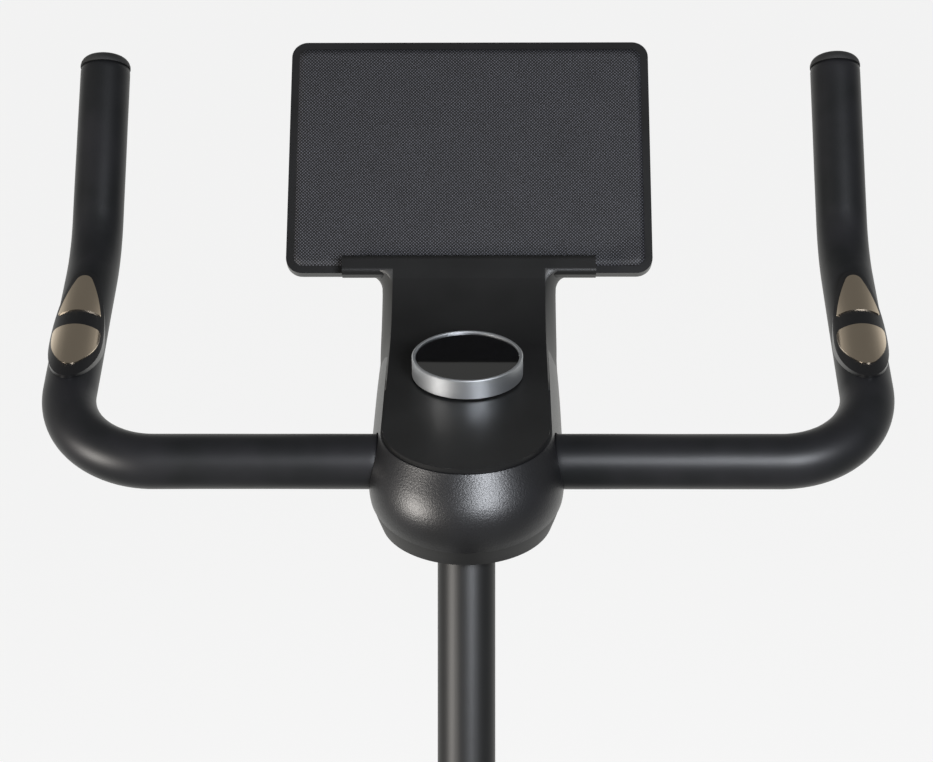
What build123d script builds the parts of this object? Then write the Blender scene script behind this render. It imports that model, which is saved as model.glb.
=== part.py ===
from build123d import *

import os
from math import asin, cos, radians, sin, sqrt, tan

# Upright exercise bike: welded steel frame, belt-driven flywheel in a two-half shroud, handlebar head with a dial
# console and a tablet rest, and a saddle on a sliding post. Millimetres; +Z up, +Y ahead of the rider, +X to the
# rider's right; the origin is on the floor under the middle of the bike.

os.makedirs("parts", exist_ok=True)

# ---------------------------------------------------------------- driving dimensions
POST_LEAN = 12  # the handlebar post leans ahead of upright
SEAT_LEAN = 14  # the seat tube leans back
BAR_Y, BAR_Z = 210, 1125  # middle of the handlebar's cross tube
AXLE_Z = 335  # crank spindle and flywheel axle height

BAR_R, BAR_WALL = 15.9, 2.0  # handlebar tube
GRIP_R = 18.5  # outside of the soft sleeve on the handlebar
BAR_HALF = 271.4  # middle of the bike to the middle of each horn
HORN_LOW, HORN_HIGH = 45, 75  # the two slopes of a horn, measured from square to the post
HORN_BEND_AT = 145.8  # where the two slopes meet, ahead of the cross tube and above it
HORN_TOP = 286  # end of the tube above the cross tube
CORNER_BEND, HORN_BEND = 64, 100  # bend radii
CAP_DOME = 8

FACE_TILT = 28  # console face, from square to the post
FACE_HALF, WAIST_HALF, RIM_HALF = 55, 64.5, 57.5  # console half widths: face, widest, bottom rim
FACE_FRONT, WAIST_FRONT, RIM_FRONT = 0, -17, -6  # how far each reaches towards the rider
WAIST_DEPTH, POD_DEPTH = 36, 69
FACE_FLAT = 174  # length of the flat face, from its rounded end
NECK_BEND = 85  # the face then curves up towards the tablet rest
SHELL = 2.5  # moulded wall
COVER_T = 3.0  # face cover thickness
PARTING_DEPTH, PARTING_TILT = 55, 38  # joint between the console's two shells
DIAL_AT = 129  # dial centre from the face's rounded end
DIAL_R, DIAL_TOP, DIAL_BORE = 38, 15, 35.5
DIAL_GAP = 1.4  # under the dial; it can be pressed down by PRESS
PRESS = 1.2

REST_TILT = 72  # tablet rest, from square to the post
REST_W, REST_H, REST_T = 268, 186, 12
REST_CORNER, REST_BORDER, MAT_T = 12, 6.5, 2
LEDGE_W, LEDGE_LOW, LEDGE_HIGH, LEDGE_OUT = 184, -5, 10, 13.4

POST_R, POST_WALL = 19.05, 1.8
SLEEVE_R, SLEEVE_WALL = 22.4, 3.3  # the frame's tube that takes the post
POST_END, SLEEVE_TOP = -640, -470  # along the post, from the handlebar
POST_BOLTS = (-482, -508)

STAB_R, STAB_WALL, STAB_HALF, STAB_Z = 25, 2, 225, 36
FRONT_STAB_Y, REAR_STAB_Y = 418, -466
SPINE_W, SPINE_H, SPINE_WALL = 40, 60, 2.5

PULLEY_R, SMALL_PULLEY_R, IDLER_R = 116, 14.5, 20
BELT_T, BELT_W, BELT_X = 4, 12, 39
FLY_Y, FLY_R, FLY_HALF = 268, 130, 18
FORK_X, FORK_T = 50, 5
BRAKE_Y, BRAKE_Z, BRAKE_PIN_R = 155, 482, 4.95  # pivot of the magnet arm
SHROUD_HALF, SHROUD_WALL = 66, 2.5
CRANK_LENGTH, CRANK_TURN = 170, -25
ARM_X, ARM_T = 72, 14
SEAT_R, SEAT_TUBE_R = 19, 25
SEAT_TUBE_LENGTH, SADDLE_AT = 560, 690  # along the seat tube, from the spine
FIT = 0.05  # radial play of parts that turn or slide in each other


def write(piece, name):
    piece.part.label = name
    export_step(piece.part, f"parts/{name}.step")


def mirrored(piece, name):
    """The same piece on the left-hand side."""
    with BuildPart() as other:
        add(piece.part)
        mirror(about=Plane.YZ, mode=Mode.REPLACE)
    write(other, name)


def turned(angle):
    return cos(radians(angle)), sin(radians(angle))


# ---------------------------------------------------------------- planes and points
UP = Vector(0, sin(radians(POST_LEAN)), cos(radians(POST_LEAN)))
AHEAD = Vector(0, cos(radians(POST_LEAN)), -sin(radians(POST_LEAN)))
BAR = Vector(0, BAR_Y, BAR_Z)


def head(x, ahead, up):
    """A point of the handlebar head, from the middle of the bar, along and square to the post."""
    return BAR + Vector(x, 0, 0) + AHEAD * ahead + UP * up


def tilted(origin, tilt):
    """A plane that faces the rider, turned up by tilt from square to the post."""
    return Plane(origin=origin, x_dir=(1, 0, 0), z_dir=UP * cos(radians(tilt)) - AHEAD * sin(radians(tilt)))


def side_of(plane):
    """The plane across the bike in which (x, y) are the given plane's y and its normal."""
    return Plane(origin=plane.origin, x_dir=plane.y_dir, z_dir=(1, 0, 0))


def across(y, z, x=0):
    """A plane across an axle: sketch x is +Y, sketch y is +Z, and the axle runs along +X."""
    return Plane(origin=(x, y, z), x_dir=(0, 1, 0), z_dir=(1, 0, 0))


POST = Plane(origin=BAR, x_dir=(1, 0, 0), z_dir=UP)
HEAD_SIDE = Plane(origin=BAR, x_dir=AHEAD, z_dir=(1, 0, 0))
FACE = tilted(head(0, -60, -3), FACE_TILT)
FACE_SIDE = side_of(FACE)
REST = tilted(head(0, 150, 131.9), REST_TILT)
REST_SIDE = side_of(REST)

CRANK_Y = BAR_Y - (BAR_Z - AXLE_Z) * tan(radians(POST_LEAN))  # the spindle crosses the post's line
SPINE_Z = STAB_Z + STAB_R + SPINE_H / 2
SPINE_TOP = SPINE_Z + SPINE_H / 2
SEAT_UP = Vector(0, -sin(radians(SEAT_LEAN)), cos(radians(SEAT_LEAN)))
SEAT_FOOT = Vector(0, -115, SPINE_TOP)
SEAT = Plane(origin=SEAT_FOOT, x_dir=(1, 0, 0), z_dir=SEAT_UP)
SEAT_BACK = Vector(0, -cos(radians(SEAT_LEAN)), -sin(radians(SEAT_LEAN)))
KNOB_AT, KNOB_SCREW_R = 520, 5


def seat_plane(along):
    return SEAT.offset(along)


# ================================================================ handlebar
def horn_points(start_x, side):
    """Corner points of half the bar, from the cross tube to the tip of one horn."""
    slope = tan(radians(90 - HORN_HIGH))
    tip_ahead = HORN_BEND_AT + (HORN_TOP - HORN_BEND_AT) * slope
    return [
        head(side * start_x, 0, 0),
        head(side * BAR_HALF, 0, 0),
        head(side * BAR_HALF, HORN_BEND_AT, HORN_BEND_AT),
        head(side * BAR_HALF, tip_ahead, HORN_TOP),
    ]


BAR_POINTS = horn_points(0, -1)[:0:-1] + horn_points(0, 1)[1:]
with BuildLine() as bar_path:
    FilletPolyline(*BAR_POINTS, radius=[HORN_BEND, CORNER_BEND, CORNER_BEND, HORN_BEND])
with BuildPart() as handlebar_tube:
    with BuildSketch(Plane(origin=bar_path.line @ 0, z_dir=bar_path.line % 0)):
        Circle(BAR_R)
        Circle(BAR_R - BAR_WALL, mode=Mode.SUBTRACT)
    sweep(path=bar_path.line)
write(handlebar_tube, "handlebar_tube")

GRIP_START = 57  # inside the console's wall
with BuildLine() as grip_path:
    FilletPolyline(*horn_points(GRIP_START, 1), radius=[CORNER_BEND, HORN_BEND])
with BuildPart() as right_grip:
    with BuildSketch(Plane(origin=grip_path.line @ 0, z_dir=grip_path.line % 0)):
        Circle(GRIP_R)
        Circle(BAR_R, mode=Mode.SUBTRACT)
    sweep(path=grip_path.line)
write(right_grip, "right_grip")
with BuildPart() as left_grip:
    add(right_grip.part)
    mirror(about=Plane.YZ, mode=Mode.REPLACE)
write(left_grip, "left_grip")

TIP = Plane(origin=grip_path.line @ 1, z_dir=grip_path.line % 1)
PLUG_LENGTH = 18
with BuildPart() as bar_end_caps:
    with BuildSketch(TIP):
        Circle(GRIP_R)
    extrude(amount=CAP_DOME)
    fillet(bar_end_caps.faces().sort_by(Axis(TIP.origin, TIP.z_dir))[-1].edges(), CAP_DOME - 0.6)
    with BuildSketch(TIP):
        Circle(BAR_R - BAR_WALL)
    extrude(amount=-PLUG_LENGTH)
    mirror(about=Plane.YZ)
write(bar_end_caps, "bar_end_caps")

# ---------------------------------------------------------------- pulse sensors, on the straight of each horn
SENSOR_AT = 73.1  # widest place of the sensor, ahead of the cross tube and above it
SENSOR_OUT = -2  # turned a little inward
BEZEL_UP, BEZEL_DOWN, BEZEL_WIDE, BEZEL_RISE = 76, 44, 18.4, 2.6
PLATE_UP, PLATE_DOWN, PLATE_WIDE, PLATE_RISE = 63, 36, 16.6, 3.4
BAND_FROM, BAND_TO = 6.1, 20.4  # bare band between the two plates, up from the widest place
HORN_DIR = AHEAD * cos(radians(HORN_LOW)) + UP * sin(radians(HORN_LOW))
HORN_NORMAL = UP * cos(radians(HORN_LOW)) - AHEAD * sin(radians(HORN_LOW))
SENSOR_NORMAL = HORN_NORMAL * cos(radians(SENSOR_OUT)) + Vector(1, 0, 0) * sin(radians(SENSOR_OUT))
SENSOR = Plane(
    origin=head(BAR_HALF, SENSOR_AT, SENSOR_AT),
    x_dir=HORN_DIR.cross(SENSOR_NORMAL),
    z_dir=SENSOR_NORMAL,
)


def half_lens(long, wide, tip_round, way):
    """Half of a pointed oval, on one side of the sketch's x axis, with a rounded tip."""
    bend = (long**2 + wide**2) / (2 * wide)
    with BuildSketch(mode=Mode.PRIVATE) as shape:
        with Locations((bend - wide, 0)):
            Circle(bend)
        with Locations((wide - bend, 0)):
            Circle(bend, mode=Mode.INTERSECT)
        with Locations((0, -way * 100)):
            Rectangle(200, 200, mode=Mode.SUBTRACT)
        fillet(shape.vertices().sort_by(Axis.Y)[-1 if way > 0 else 0], tip_round)
    return shape.sketch


def bezel_outline():
    """Pointed above its widest place and round below it."""
    with BuildSketch(mode=Mode.PRIVATE) as shape:
        Ellipse(BEZEL_WIDE, BEZEL_DOWN)
        with Locations((0, 100)):
            Rectangle(200, 200, mode=Mode.SUBTRACT)
        add(half_lens(BEZEL_UP, BEZEL_WIDE, 10, 1))
    return shape.sketch


def plate_outline(kept):
    """The part of the plates' outline above or below the bare band."""
    with BuildSketch(mode=Mode.PRIVATE) as shape:
        add(half_lens(PLATE_UP, PLATE_WIDE, 6, 1))
        if kept == "upper":
            with Locations((0, BAND_TO - 100)):
                Rectangle(200, 200, mode=Mode.SUBTRACT)
            fillet(shape.vertices().sort_by(Axis.Y)[:2], 1)
        else:
            add(half_lens(PLATE_DOWN, PLATE_WIDE, 8, -1))
            with Locations((0, BAND_FROM + 100)):
                Rectangle(200, 200, mode=Mode.SUBTRACT)
            fillet(shape.vertices().sort_by(Axis.Y)[-2:], 3)
    return shape.sketch


def on_the_bar(outer, inner):
    """Hollow round bar that the sensor pieces are cut from."""
    ends = Plane(origin=SENSOR.origin - HORN_DIR * 60, z_dir=HORN_DIR)
    with BuildPart(mode=Mode.PRIVATE) as ring:
        with BuildSketch(ends):
            Circle(outer)
            Circle(inner, mode=Mode.SUBTRACT)
        extrude(amount=145)
    return ring.part


def plate(kept):
    """One contact plate, above or below the bare band."""
    with BuildPart(mode=Mode.PRIVATE) as metal:
        with BuildSketch(SENSOR):
            add(plate_outline(kept))
        extrude(amount=40)
        add(on_the_bar(GRIP_R + PLATE_RISE, GRIP_R + BEZEL_RISE), mode=Mode.INTERSECT)
    return metal.part


with BuildPart() as sensor_bezels:
    with BuildSketch(SENSOR):
        add(bezel_outline())
    extrude(amount=40)
    add(on_the_bar(GRIP_R + BEZEL_RISE, GRIP_R), mode=Mode.INTERSECT)
    mirror(about=Plane.YZ)
write(sensor_bezels, "sensor_bezels")
with BuildPart() as pulse_plates:
    add(plate("upper"))
    add(plate("lower"))
    mirror(about=Plane.YZ)
write(pulse_plates, "pulse_plates")


# ================================================================ console
CONSOLE_RINGS = (
    (0, FACE_HALF, FACE_FRONT),
    (-WAIST_DEPTH / 2, FACE_HALF + 7, -11),
    (-WAIST_DEPTH, WAIST_HALF, WAIST_FRONT),
    (-(WAIST_DEPTH + POD_DEPTH) / 2, WAIST_HALF - 2, -13.5),
    (-POD_DEPTH, RIM_HALF, RIM_FRONT),
)
NECK_TURN = REST_TILT - FACE_TILT
turn_cos, turn_sin = turned(NECK_TURN)
REST_FOOT = FACE_SIDE.to_local_coords(REST.origin)


def in_face_side(along, out):
    """A point given along the tablet rest and out of its front, in the face's side view."""
    return (REST_FOOT.X + along * turn_cos - out * turn_sin, REST_FOOT.Y + along * turn_sin + out * turn_cos)


NECK_BACK = in_face_side(0, -REST_T - 34)
UNDERSIDE_FROM = 105  # the flat underside ends here and curves up to the neck's back
UNDERSIDE_RUN, UNDERSIDE_RISE = NECK_BACK[0] - UNDERSIDE_FROM, NECK_BACK[1] + POD_DEPTH
UNDERSIDE_R = (UNDERSIDE_RUN**2 + UNDERSIDE_RISE**2) / (2 * UNDERSIDE_RISE)
UNDERSIDE_TURN = asin(UNDERSIDE_RUN / UNDERSIDE_R) / 2
UNDERSIDE_MIDDLE = (
    UNDERSIDE_FROM + UNDERSIDE_R * sin(UNDERSIDE_TURN),
    -POD_DEPTH + UNDERSIDE_R * (1 - cos(UNDERSIDE_TURN)),
)


def outline(half, front):
    """Round end towards the rider and straight sides away from them."""
    with Locations((0, front + half)):
        Circle(half)
    with Locations((0, front + half + 200)):
        Rectangle(2 * half, 400)


def neck_arc(depth):
    """The neck's curve at a depth under the face: its start, middle and end in the face's side view."""
    bend = NECK_BEND + depth
    half_cos, half_sin = turned(NECK_TURN / 2)
    start = (FACE_FLAT, -depth)
    middle = (FACE_FLAT + bend * half_sin, NECK_BEND - bend * half_cos)
    end = (FACE_FLAT + bend * turn_sin, NECK_BEND - bend * turn_cos)
    return start, middle, end


def console_block(inset):
    """The console's outer shape as a solid, made smaller all round by inset."""
    with BuildPart(mode=Mode.PRIVATE) as block:
        for depth, half, front in CONSOLE_RINGS:
            with BuildSketch(FACE.offset(depth)):
                outline(half - inset, front + inset)
        loft()
        with BuildSketch(FACE):
            outline(FACE_HALF - inset, FACE_FRONT + inset)
        extrude(amount=120)
        with BuildSketch(FACE_SIDE) as side:
            with BuildLine():
                start, middle, end = neck_arc(0)
                Line((-40, 0), start)
                ThreePointArc(start, middle, end)
                Line(end, in_face_side(-1, LEDGE_OUT))
                Line(in_face_side(-1, LEDGE_OUT), in_face_side(-1, 0))
                Line(in_face_side(-1, 0), in_face_side(-1, -REST_T))
                Line(in_face_side(-1, -REST_T), in_face_side(72, -REST_T))
                Line(in_face_side(72, -REST_T), in_face_side(66, -REST_T - 13))
                Line(in_face_side(66, -REST_T - 13), NECK_BACK)
                ThreePointArc(NECK_BACK, UNDERSIDE_MIDDLE, (UNDERSIDE_FROM, -POD_DEPTH))
                Line((UNDERSIDE_FROM, -POD_DEPTH), (-40, -POD_DEPTH))
                Line((-40, -POD_DEPTH), (-40, 0))
            make_face()
            if inset:
                offset(amount=-inset, kind=Kind.INTERSECTION, mode=Mode.REPLACE)
        extrude(amount=100, both=True, mode=Mode.INTERSECT)
    return block.part


def cover_band():
    """The layer of the face cover, in the face's side view, as a solid right across."""
    with BuildPart(mode=Mode.PRIVATE) as band:
        with BuildSketch(FACE_SIDE):
            with BuildLine():
                start, middle, end = neck_arc(0)
                low_start, low_middle, low_end = neck_arc(COVER_T)
                Line((-40, 0), start)
                ThreePointArc(start, middle, end)
                Line(end, in_face_side(-1, LEDGE_OUT))
                Line(in_face_side(-1, LEDGE_OUT), in_face_side(-1, LEDGE_OUT - COVER_T))
                Line(in_face_side(-1, LEDGE_OUT - COVER_T), low_end)
                ThreePointArc(low_end, low_middle, low_start)
                Line(low_start, (-40, -COVER_T))
                Line((-40, -COVER_T), (-40, 0))
            make_face()
        extrude(amount=100, both=True)
    return band.part


PARTING = tilted(FACE.from_local_coords((0, WAIST_FRONT + 5, -PARTING_DEPTH)), PARTING_TILT)
SEAM_INSET = 0.8
DIAL = Plane(origin=FACE.from_local_coords((0, DIAL_AT, 0)), x_dir=(1, 0, 0), z_dir=FACE.z_dir)
STEM_R = 20

OUTER, INNER, BAND = console_block(0), console_block(COVER_T), cover_band()
SKIRT_OUTER, SKIRT_INNER = console_block(SEAM_INSET), console_block(SEAM_INSET + SHELL)

with BuildPart() as console_face:
    with BuildSketch(FACE):
        outline(FACE_HALF, FACE_FRONT)
    extrude(amount=120, both=True)
    add(BAND, mode=Mode.INTERSECT)
    with BuildSketch(REST_SIDE):
        with Locations(((LEDGE_LOW + LEDGE_HIGH) / 2, LEDGE_OUT / 2)):
            RectangleRounded(LEDGE_HIGH - LEDGE_LOW, LEDGE_OUT - 0.2, 4)
    extrude(amount=LEDGE_W / 2, both=True)
    with BuildSketch(DIAL):
        Circle(STEM_R + FIT)
    extrude(amount=-10, both=True, mode=Mode.SUBTRACT)
write(console_face, "console_face")

with BuildPart() as console_bulb:
    add(OUTER)
    add(INNER, mode=Mode.SUBTRACT)
    add(BAND, mode=Mode.SUBTRACT)
    with BuildSketch(REST_SIDE):
        with Locations(((LEDGE_LOW + LEDGE_HIGH) / 2, LEDGE_OUT / 2)):
            Rectangle(LEDGE_HIGH - LEDGE_LOW + 0.2, LEDGE_OUT)
    extrude(amount=100, both=True, mode=Mode.SUBTRACT)
    with BuildSketch(HEAD_SIDE):
        Circle(GRIP_R + 0.6)
    extrude(amount=100, both=True, mode=Mode.SUBTRACT)
    with BuildSketch(PARTING):
        Rectangle(900, 900)
    extrude(amount=-300, mode=Mode.SUBTRACT)
write(console_bulb, "console_bulb")

with BuildPart() as console_skirt:
    add(SKIRT_OUTER)
    add(SKIRT_INNER, mode=Mode.SUBTRACT)
    with BuildSketch(HEAD_SIDE):
        Circle(GRIP_R + 0.6)
    extrude(amount=100, both=True, mode=Mode.SUBTRACT)
    with BuildSketch(POST):
        Circle(POST_R + 0.6)
    extrude(amount=-150, mode=Mode.SUBTRACT)
    with BuildSketch(PARTING):
        Rectangle(900, 900)
    extrude(amount=400, mode=Mode.SUBTRACT)
write(console_skirt, "console_skirt")

# ---------------------------------------------------------------- dial with a display in it
HUB_TOP = 11
with BuildPart() as dial_hub:
    with BuildSketch(DIAL.offset(DIAL_GAP + 1)):
        Circle(DIAL_BORE - FIT)
    extrude(amount=HUB_TOP - DIAL_GAP - 1)
    with BuildSketch(DIAL.offset(HUB_TOP - 6)):
        Circle(DIAL_BORE - 4)
    extrude(amount=10, mode=Mode.SUBTRACT)
    with BuildSketch(DIAL.offset(-8)):
        Circle(STEM_R)
    extrude(amount=8 + DIAL_GAP + 1)
write(dial_hub, "dial_hub")
with BuildPart() as dial_ring:
    with BuildSketch(DIAL.offset(DIAL_GAP)):
        Circle(DIAL_R)
        Circle(DIAL_BORE, mode=Mode.SUBTRACT)
    extrude(amount=DIAL_TOP - DIAL_GAP)
    chamfer(dial_ring.faces().sort_by(Axis(DIAL.origin, DIAL.z_dir))[-1].edges(), 0.6)
write(dial_ring, "dial_ring")
with BuildPart() as display_glass:
    with BuildSketch(DIAL.offset(HUB_TOP)):
        Circle(DIAL_BORE - 0.3)
    extrude(amount=2.6)
write(display_glass, "display_glass")
with BuildPart() as display_board:
    with BuildSketch(DIAL.offset(HUB_TOP - 6)):
        Circle(DIAL_BORE - 4.5)
    extrude(amount=1.6)
    with BuildSketch(DIAL.offset(HUB_TOP - 4.4)):
        Circle(DIAL_BORE - 7)
    extrude(amount=3.4)
write(display_board, "display_board")
# ---------------------------------------------------------------- tablet rest
with BuildPart() as rest_frame:
    with BuildSketch(REST):
        with Locations((0, REST_H / 2)):
            RectangleRounded(REST_W, REST_H, REST_CORNER)
    extrude(amount=-REST_T)
    fillet(rest_frame.faces().sort_by(Axis(REST.origin, REST.z_dir))[0].edges(), 5)
    with BuildSketch(REST):
        with Locations((0, REST_H / 2)):
            RectangleRounded(REST_W - 2 * REST_BORDER, REST_H - 2 * REST_BORDER, REST_CORNER - 4)
    extrude(amount=-1.5, mode=Mode.SUBTRACT)
write(rest_frame, "rest_frame")
MAT_MARGIN = REST_BORDER + 1.4
with BuildPart() as rest_mat:
    with BuildSketch(REST.offset(-1.5)):
        with Locations((0, REST_H / 2)):
            RectangleRounded(REST_W - 2 * MAT_MARGIN, REST_H - 2 * MAT_MARGIN, REST_CORNER - 5)
    extrude(amount=MAT_T)
    with BuildSketch(REST_SIDE):
        with Locations(((LEDGE_LOW + LEDGE_HIGH) / 2, LEDGE_OUT / 2)):
            Rectangle(LEDGE_HIGH - LEDGE_LOW + 0.4, LEDGE_OUT)
    extrude(amount=LEDGE_W / 2 + 1, both=True, mode=Mode.SUBTRACT)
write(rest_mat, "rest_mat")

# ---------------------------------------------------------------- post and handlebar clamp
CLAMP_X, CLAMP_P, CLAMP_SPLIT = 48, 48, 0.5
CLAMP_BOLTS = GridLocations(32, 41, 2, 2)
with BuildPart() as handlebar_post:
    with BuildSketch(POST.offset(POST_END)):
        Circle(POST_R)
        Circle(POST_R - POST_WALL, mode=Mode.SUBTRACT)
    extrude(amount=-POST_END - 28)
    for along in POST_BOLTS:
        with BuildSketch(Plane(origin=head(0, -40, along), x_dir=(1, 0, 0), z_dir=AHEAD)):
            Circle(4)
        extrude(amount=40, mode=Mode.SUBTRACT)
    with BuildSketch(POST.offset(-28)):
        RectangleRounded(CLAMP_X, CLAMP_P, 5)
    extrude(amount=28 - CLAMP_SPLIT)
    with BuildSketch(HEAD_SIDE):
        Circle(BAR_R)
    extrude(amount=40, both=True, mode=Mode.SUBTRACT)
    with BuildSketch(POST.offset(-CLAMP_SPLIT)):
        with CLAMP_BOLTS:
            Circle(2.5)
    extrude(amount=-20, mode=Mode.SUBTRACT)
write(handlebar_post, "handlebar_post")
with BuildPart() as bar_clamp:
    with BuildSketch(POST.offset(CLAMP_SPLIT)):
        RectangleRounded(CLAMP_X, CLAMP_P, 5)
    extrude(amount=6)
    with BuildSketch(HEAD_SIDE):
        Circle(BAR_R + 3.6)
    extrude(amount=CLAMP_X / 2 - 4, both=True)
    with BuildSketch(HEAD_SIDE):
        Circle(BAR_R)
    extrude(amount=40, both=True, mode=Mode.SUBTRACT)
    with BuildSketch(POST.offset(CLAMP_SPLIT)):
        with CLAMP_BOLTS:
            Circle(2.75)
    extrude(amount=10, mode=Mode.SUBTRACT)
    with BuildSketch(POST.offset(CLAMP_SPLIT + 6)):
        with CLAMP_BOLTS:
            Circle(4.5)
    extrude(amount=10, mode=Mode.SUBTRACT)
    split(bisect_by=POST.offset(CLAMP_SPLIT), keep=Keep.TOP)
write(bar_clamp, "bar_clamp")
with BuildPart() as clamp_bolts:
    with BuildSketch(POST.offset(CLAMP_SPLIT + 6)):
        with CLAMP_BOLTS:
            Circle(4.2)
    extrude(amount=4)
    with BuildSketch(POST.offset(CLAMP_SPLIT + 6)):
        with CLAMP_BOLTS:
            Circle(2.5)
    extrude(amount=-22)
write(clamp_bolts, "bar_clamp_bolts")

# ================================================================ frame
SPINE_MID_Y = (FRONT_STAB_Y + REAR_STAB_Y) / 2
SPINE_LENGTH = FRONT_STAB_Y - REAR_STAB_Y + 60
MAST_FOOT = (SPINE_TOP - BAR_Z) / cos(radians(POST_LEAN))
BB_R, BB_HALF, AXLE_R = 24, 30, 10
FLY_AXLE_R = 8.5
BOLT_X = 34

with BuildPart() as main_frame:
    with BuildSketch(Plane.XZ.offset(-(SPINE_MID_Y + SPINE_LENGTH / 2))):
        with Locations((0, SPINE_Z)):
            RectangleRounded(SPINE_W, SPINE_H, 6)
    extrude(amount=SPINE_LENGTH)
    with BuildSketch(POST.offset(MAST_FOOT - 4)):
        Circle(SLEEVE_R)
    extrude(amount=SLEEVE_TOP - MAST_FOOT + 4)
    with BuildSketch(seat_plane(-4)):
        Circle(SEAT_TUBE_R)
    extrude(amount=SEAT_TUBE_LENGTH + 4)
    with BuildSketch(Plane.YZ):
        with BuildLine():
            gusset_top = SPINE_TOP + 150
            Polyline((-290, SPINE_TOP - 2), (-60, SPINE_TOP - 2), (-133, gusset_top), (-166, gusset_top), close=True)
        make_face()
    extrude(amount=2.5, both=True)
    with BuildSketch(across(CRANK_Y, AXLE_Z)):
        Circle(BB_R)
    extrude(amount=BB_HALF, both=True)
    for stab_y in (FRONT_STAB_Y, REAR_STAB_Y):
        with BuildSketch(Plane.XY.offset(STAB_Z + 8)):
            with Locations((0, stab_y)):
                RectangleRounded(100, 44, 5)
        extrude(amount=STAB_R - 8 + 3)
        with BuildSketch(across(stab_y, STAB_Z)):
            Circle(STAB_R + FIT)
        extrude(amount=60, both=True, mode=Mode.SUBTRACT)
    with BuildSketch(Plane.XY.offset(SPINE_TOP - 1)):
        with Locations((0, FLY_Y)):
            RectangleRounded(2 * (FORK_X + FORK_T), 90, 4)
    extrude(amount=7)
    for fork_x in (FORK_X, -FORK_X - FORK_T):
        with BuildSketch(across(FLY_Y, AXLE_Z, fork_x)):
            with BuildLine():
                Polyline((-40, SPINE_TOP + 5 - AXLE_Z), (40, SPINE_TOP + 5 - AXLE_Z), (22, 0), (-22, 0), close=True)
            make_face()
            Circle(22)
            Circle(FLY_AXLE_R, mode=Mode.SUBTRACT)
        extrude(amount=FORK_T)
    with BuildSketch(Plane.YZ):
        with BuildLine():
            Polyline((88, 478), (98, 525), (170, 496), (170, 468), close=True)
        make_face()
    extrude(amount=4, both=True)
    with BuildSketch(across(BRAKE_Y, BRAKE_Z)):
        Circle(BRAKE_PIN_R)
    extrude(amount=12, both=True)
    # hollow out the tubes
    with BuildSketch(Plane.XZ.offset(-(SPINE_MID_Y + SPINE_LENGTH / 2))):
        with Locations((0, SPINE_Z)):
            RectangleRounded(SPINE_W - 2 * SPINE_WALL, SPINE_H - 2 * SPINE_WALL, 4)
    extrude(amount=SPINE_LENGTH, mode=Mode.SUBTRACT)
    with BuildSketch(POST.offset(MAST_FOOT + 6)):
        Circle(SLEEVE_R - SLEEVE_WALL)
    extrude(amount=SLEEVE_TOP - MAST_FOOT, mode=Mode.SUBTRACT)
    with BuildSketch(seat_plane(6)):
        Circle(SEAT_TUBE_R - 2)
    extrude(amount=SEAT_TUBE_LENGTH, mode=Mode.SUBTRACT)
    with BuildSketch(across(CRANK_Y, AXLE_Z)):
        Circle(20)
    extrude(amount=BB_HALF, both=True, mode=Mode.SUBTRACT)
    for along in POST_BOLTS:
        with BuildSketch(Plane(origin=head(0, -40, along), x_dir=(1, 0, 0), z_dir=AHEAD)):
            Circle(4)
        extrude(amount=60, mode=Mode.SUBTRACT)
    with BuildSketch(Plane(origin=SEAT_FOOT + SEAT_UP * KNOB_AT, x_dir=(1, 0, 0), z_dir=SEAT_BACK)):
        Circle(KNOB_SCREW_R + 3)
    extrude(amount=SEAT_TUBE_R + 12)
    with BuildSketch(Plane(origin=SEAT_FOOT + SEAT_UP * KNOB_AT, x_dir=(1, 0, 0), z_dir=SEAT_BACK)):
        Circle(KNOB_SCREW_R + FIT)
    extrude(amount=SEAT_TUBE_R + 20, mode=Mode.SUBTRACT)
    with BuildSketch(seat_plane(KNOB_AT - 20)):
        Circle(SEAT_TUBE_R - 2)
    extrude(amount=40, mode=Mode.SUBTRACT)
    for stab_y in (FRONT_STAB_Y, REAR_STAB_Y):
        with BuildSketch(Plane.XY.offset(STAB_Z)):
            with Locations((-BOLT_X, stab_y), (BOLT_X, stab_y)):
                Circle(4)
        extrude(amount=40, mode=Mode.SUBTRACT)
write(main_frame, "main_frame")
with BuildPart() as spine_plugs:
    for end_y, inward in ((SPINE_MID_Y + SPINE_LENGTH / 2, 1), (SPINE_MID_Y - SPINE_LENGTH / 2, -1)):
        with BuildSketch(Plane.XZ.offset(-(end_y - inward * 0.6))):
            with Locations((0, SPINE_Z)):
                RectangleRounded(SPINE_W - 2 * SPINE_WALL - 0.1, SPINE_H - 2 * SPINE_WALL - 0.1, 3.95)
        extrude(amount=inward * 12)
write(spine_plugs, "spine_plugs")


def stabilizer(stab_y):
    with BuildPart(mode=Mode.PRIVATE) as tube:
        with BuildSketch(across(stab_y, STAB_Z)):
            Circle(STAB_R)
            Circle(STAB_R - STAB_WALL, mode=Mode.SUBTRACT)
        extrude(amount=STAB_HALF, both=True)
        with BuildSketch(Plane.XY.offset(STAB_Z)):
            with Locations((-BOLT_X, stab_y), (BOLT_X, stab_y)):
                Circle(4)
        extrude(amount=40, both=True, mode=Mode.SUBTRACT)
    return tube.part


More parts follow.
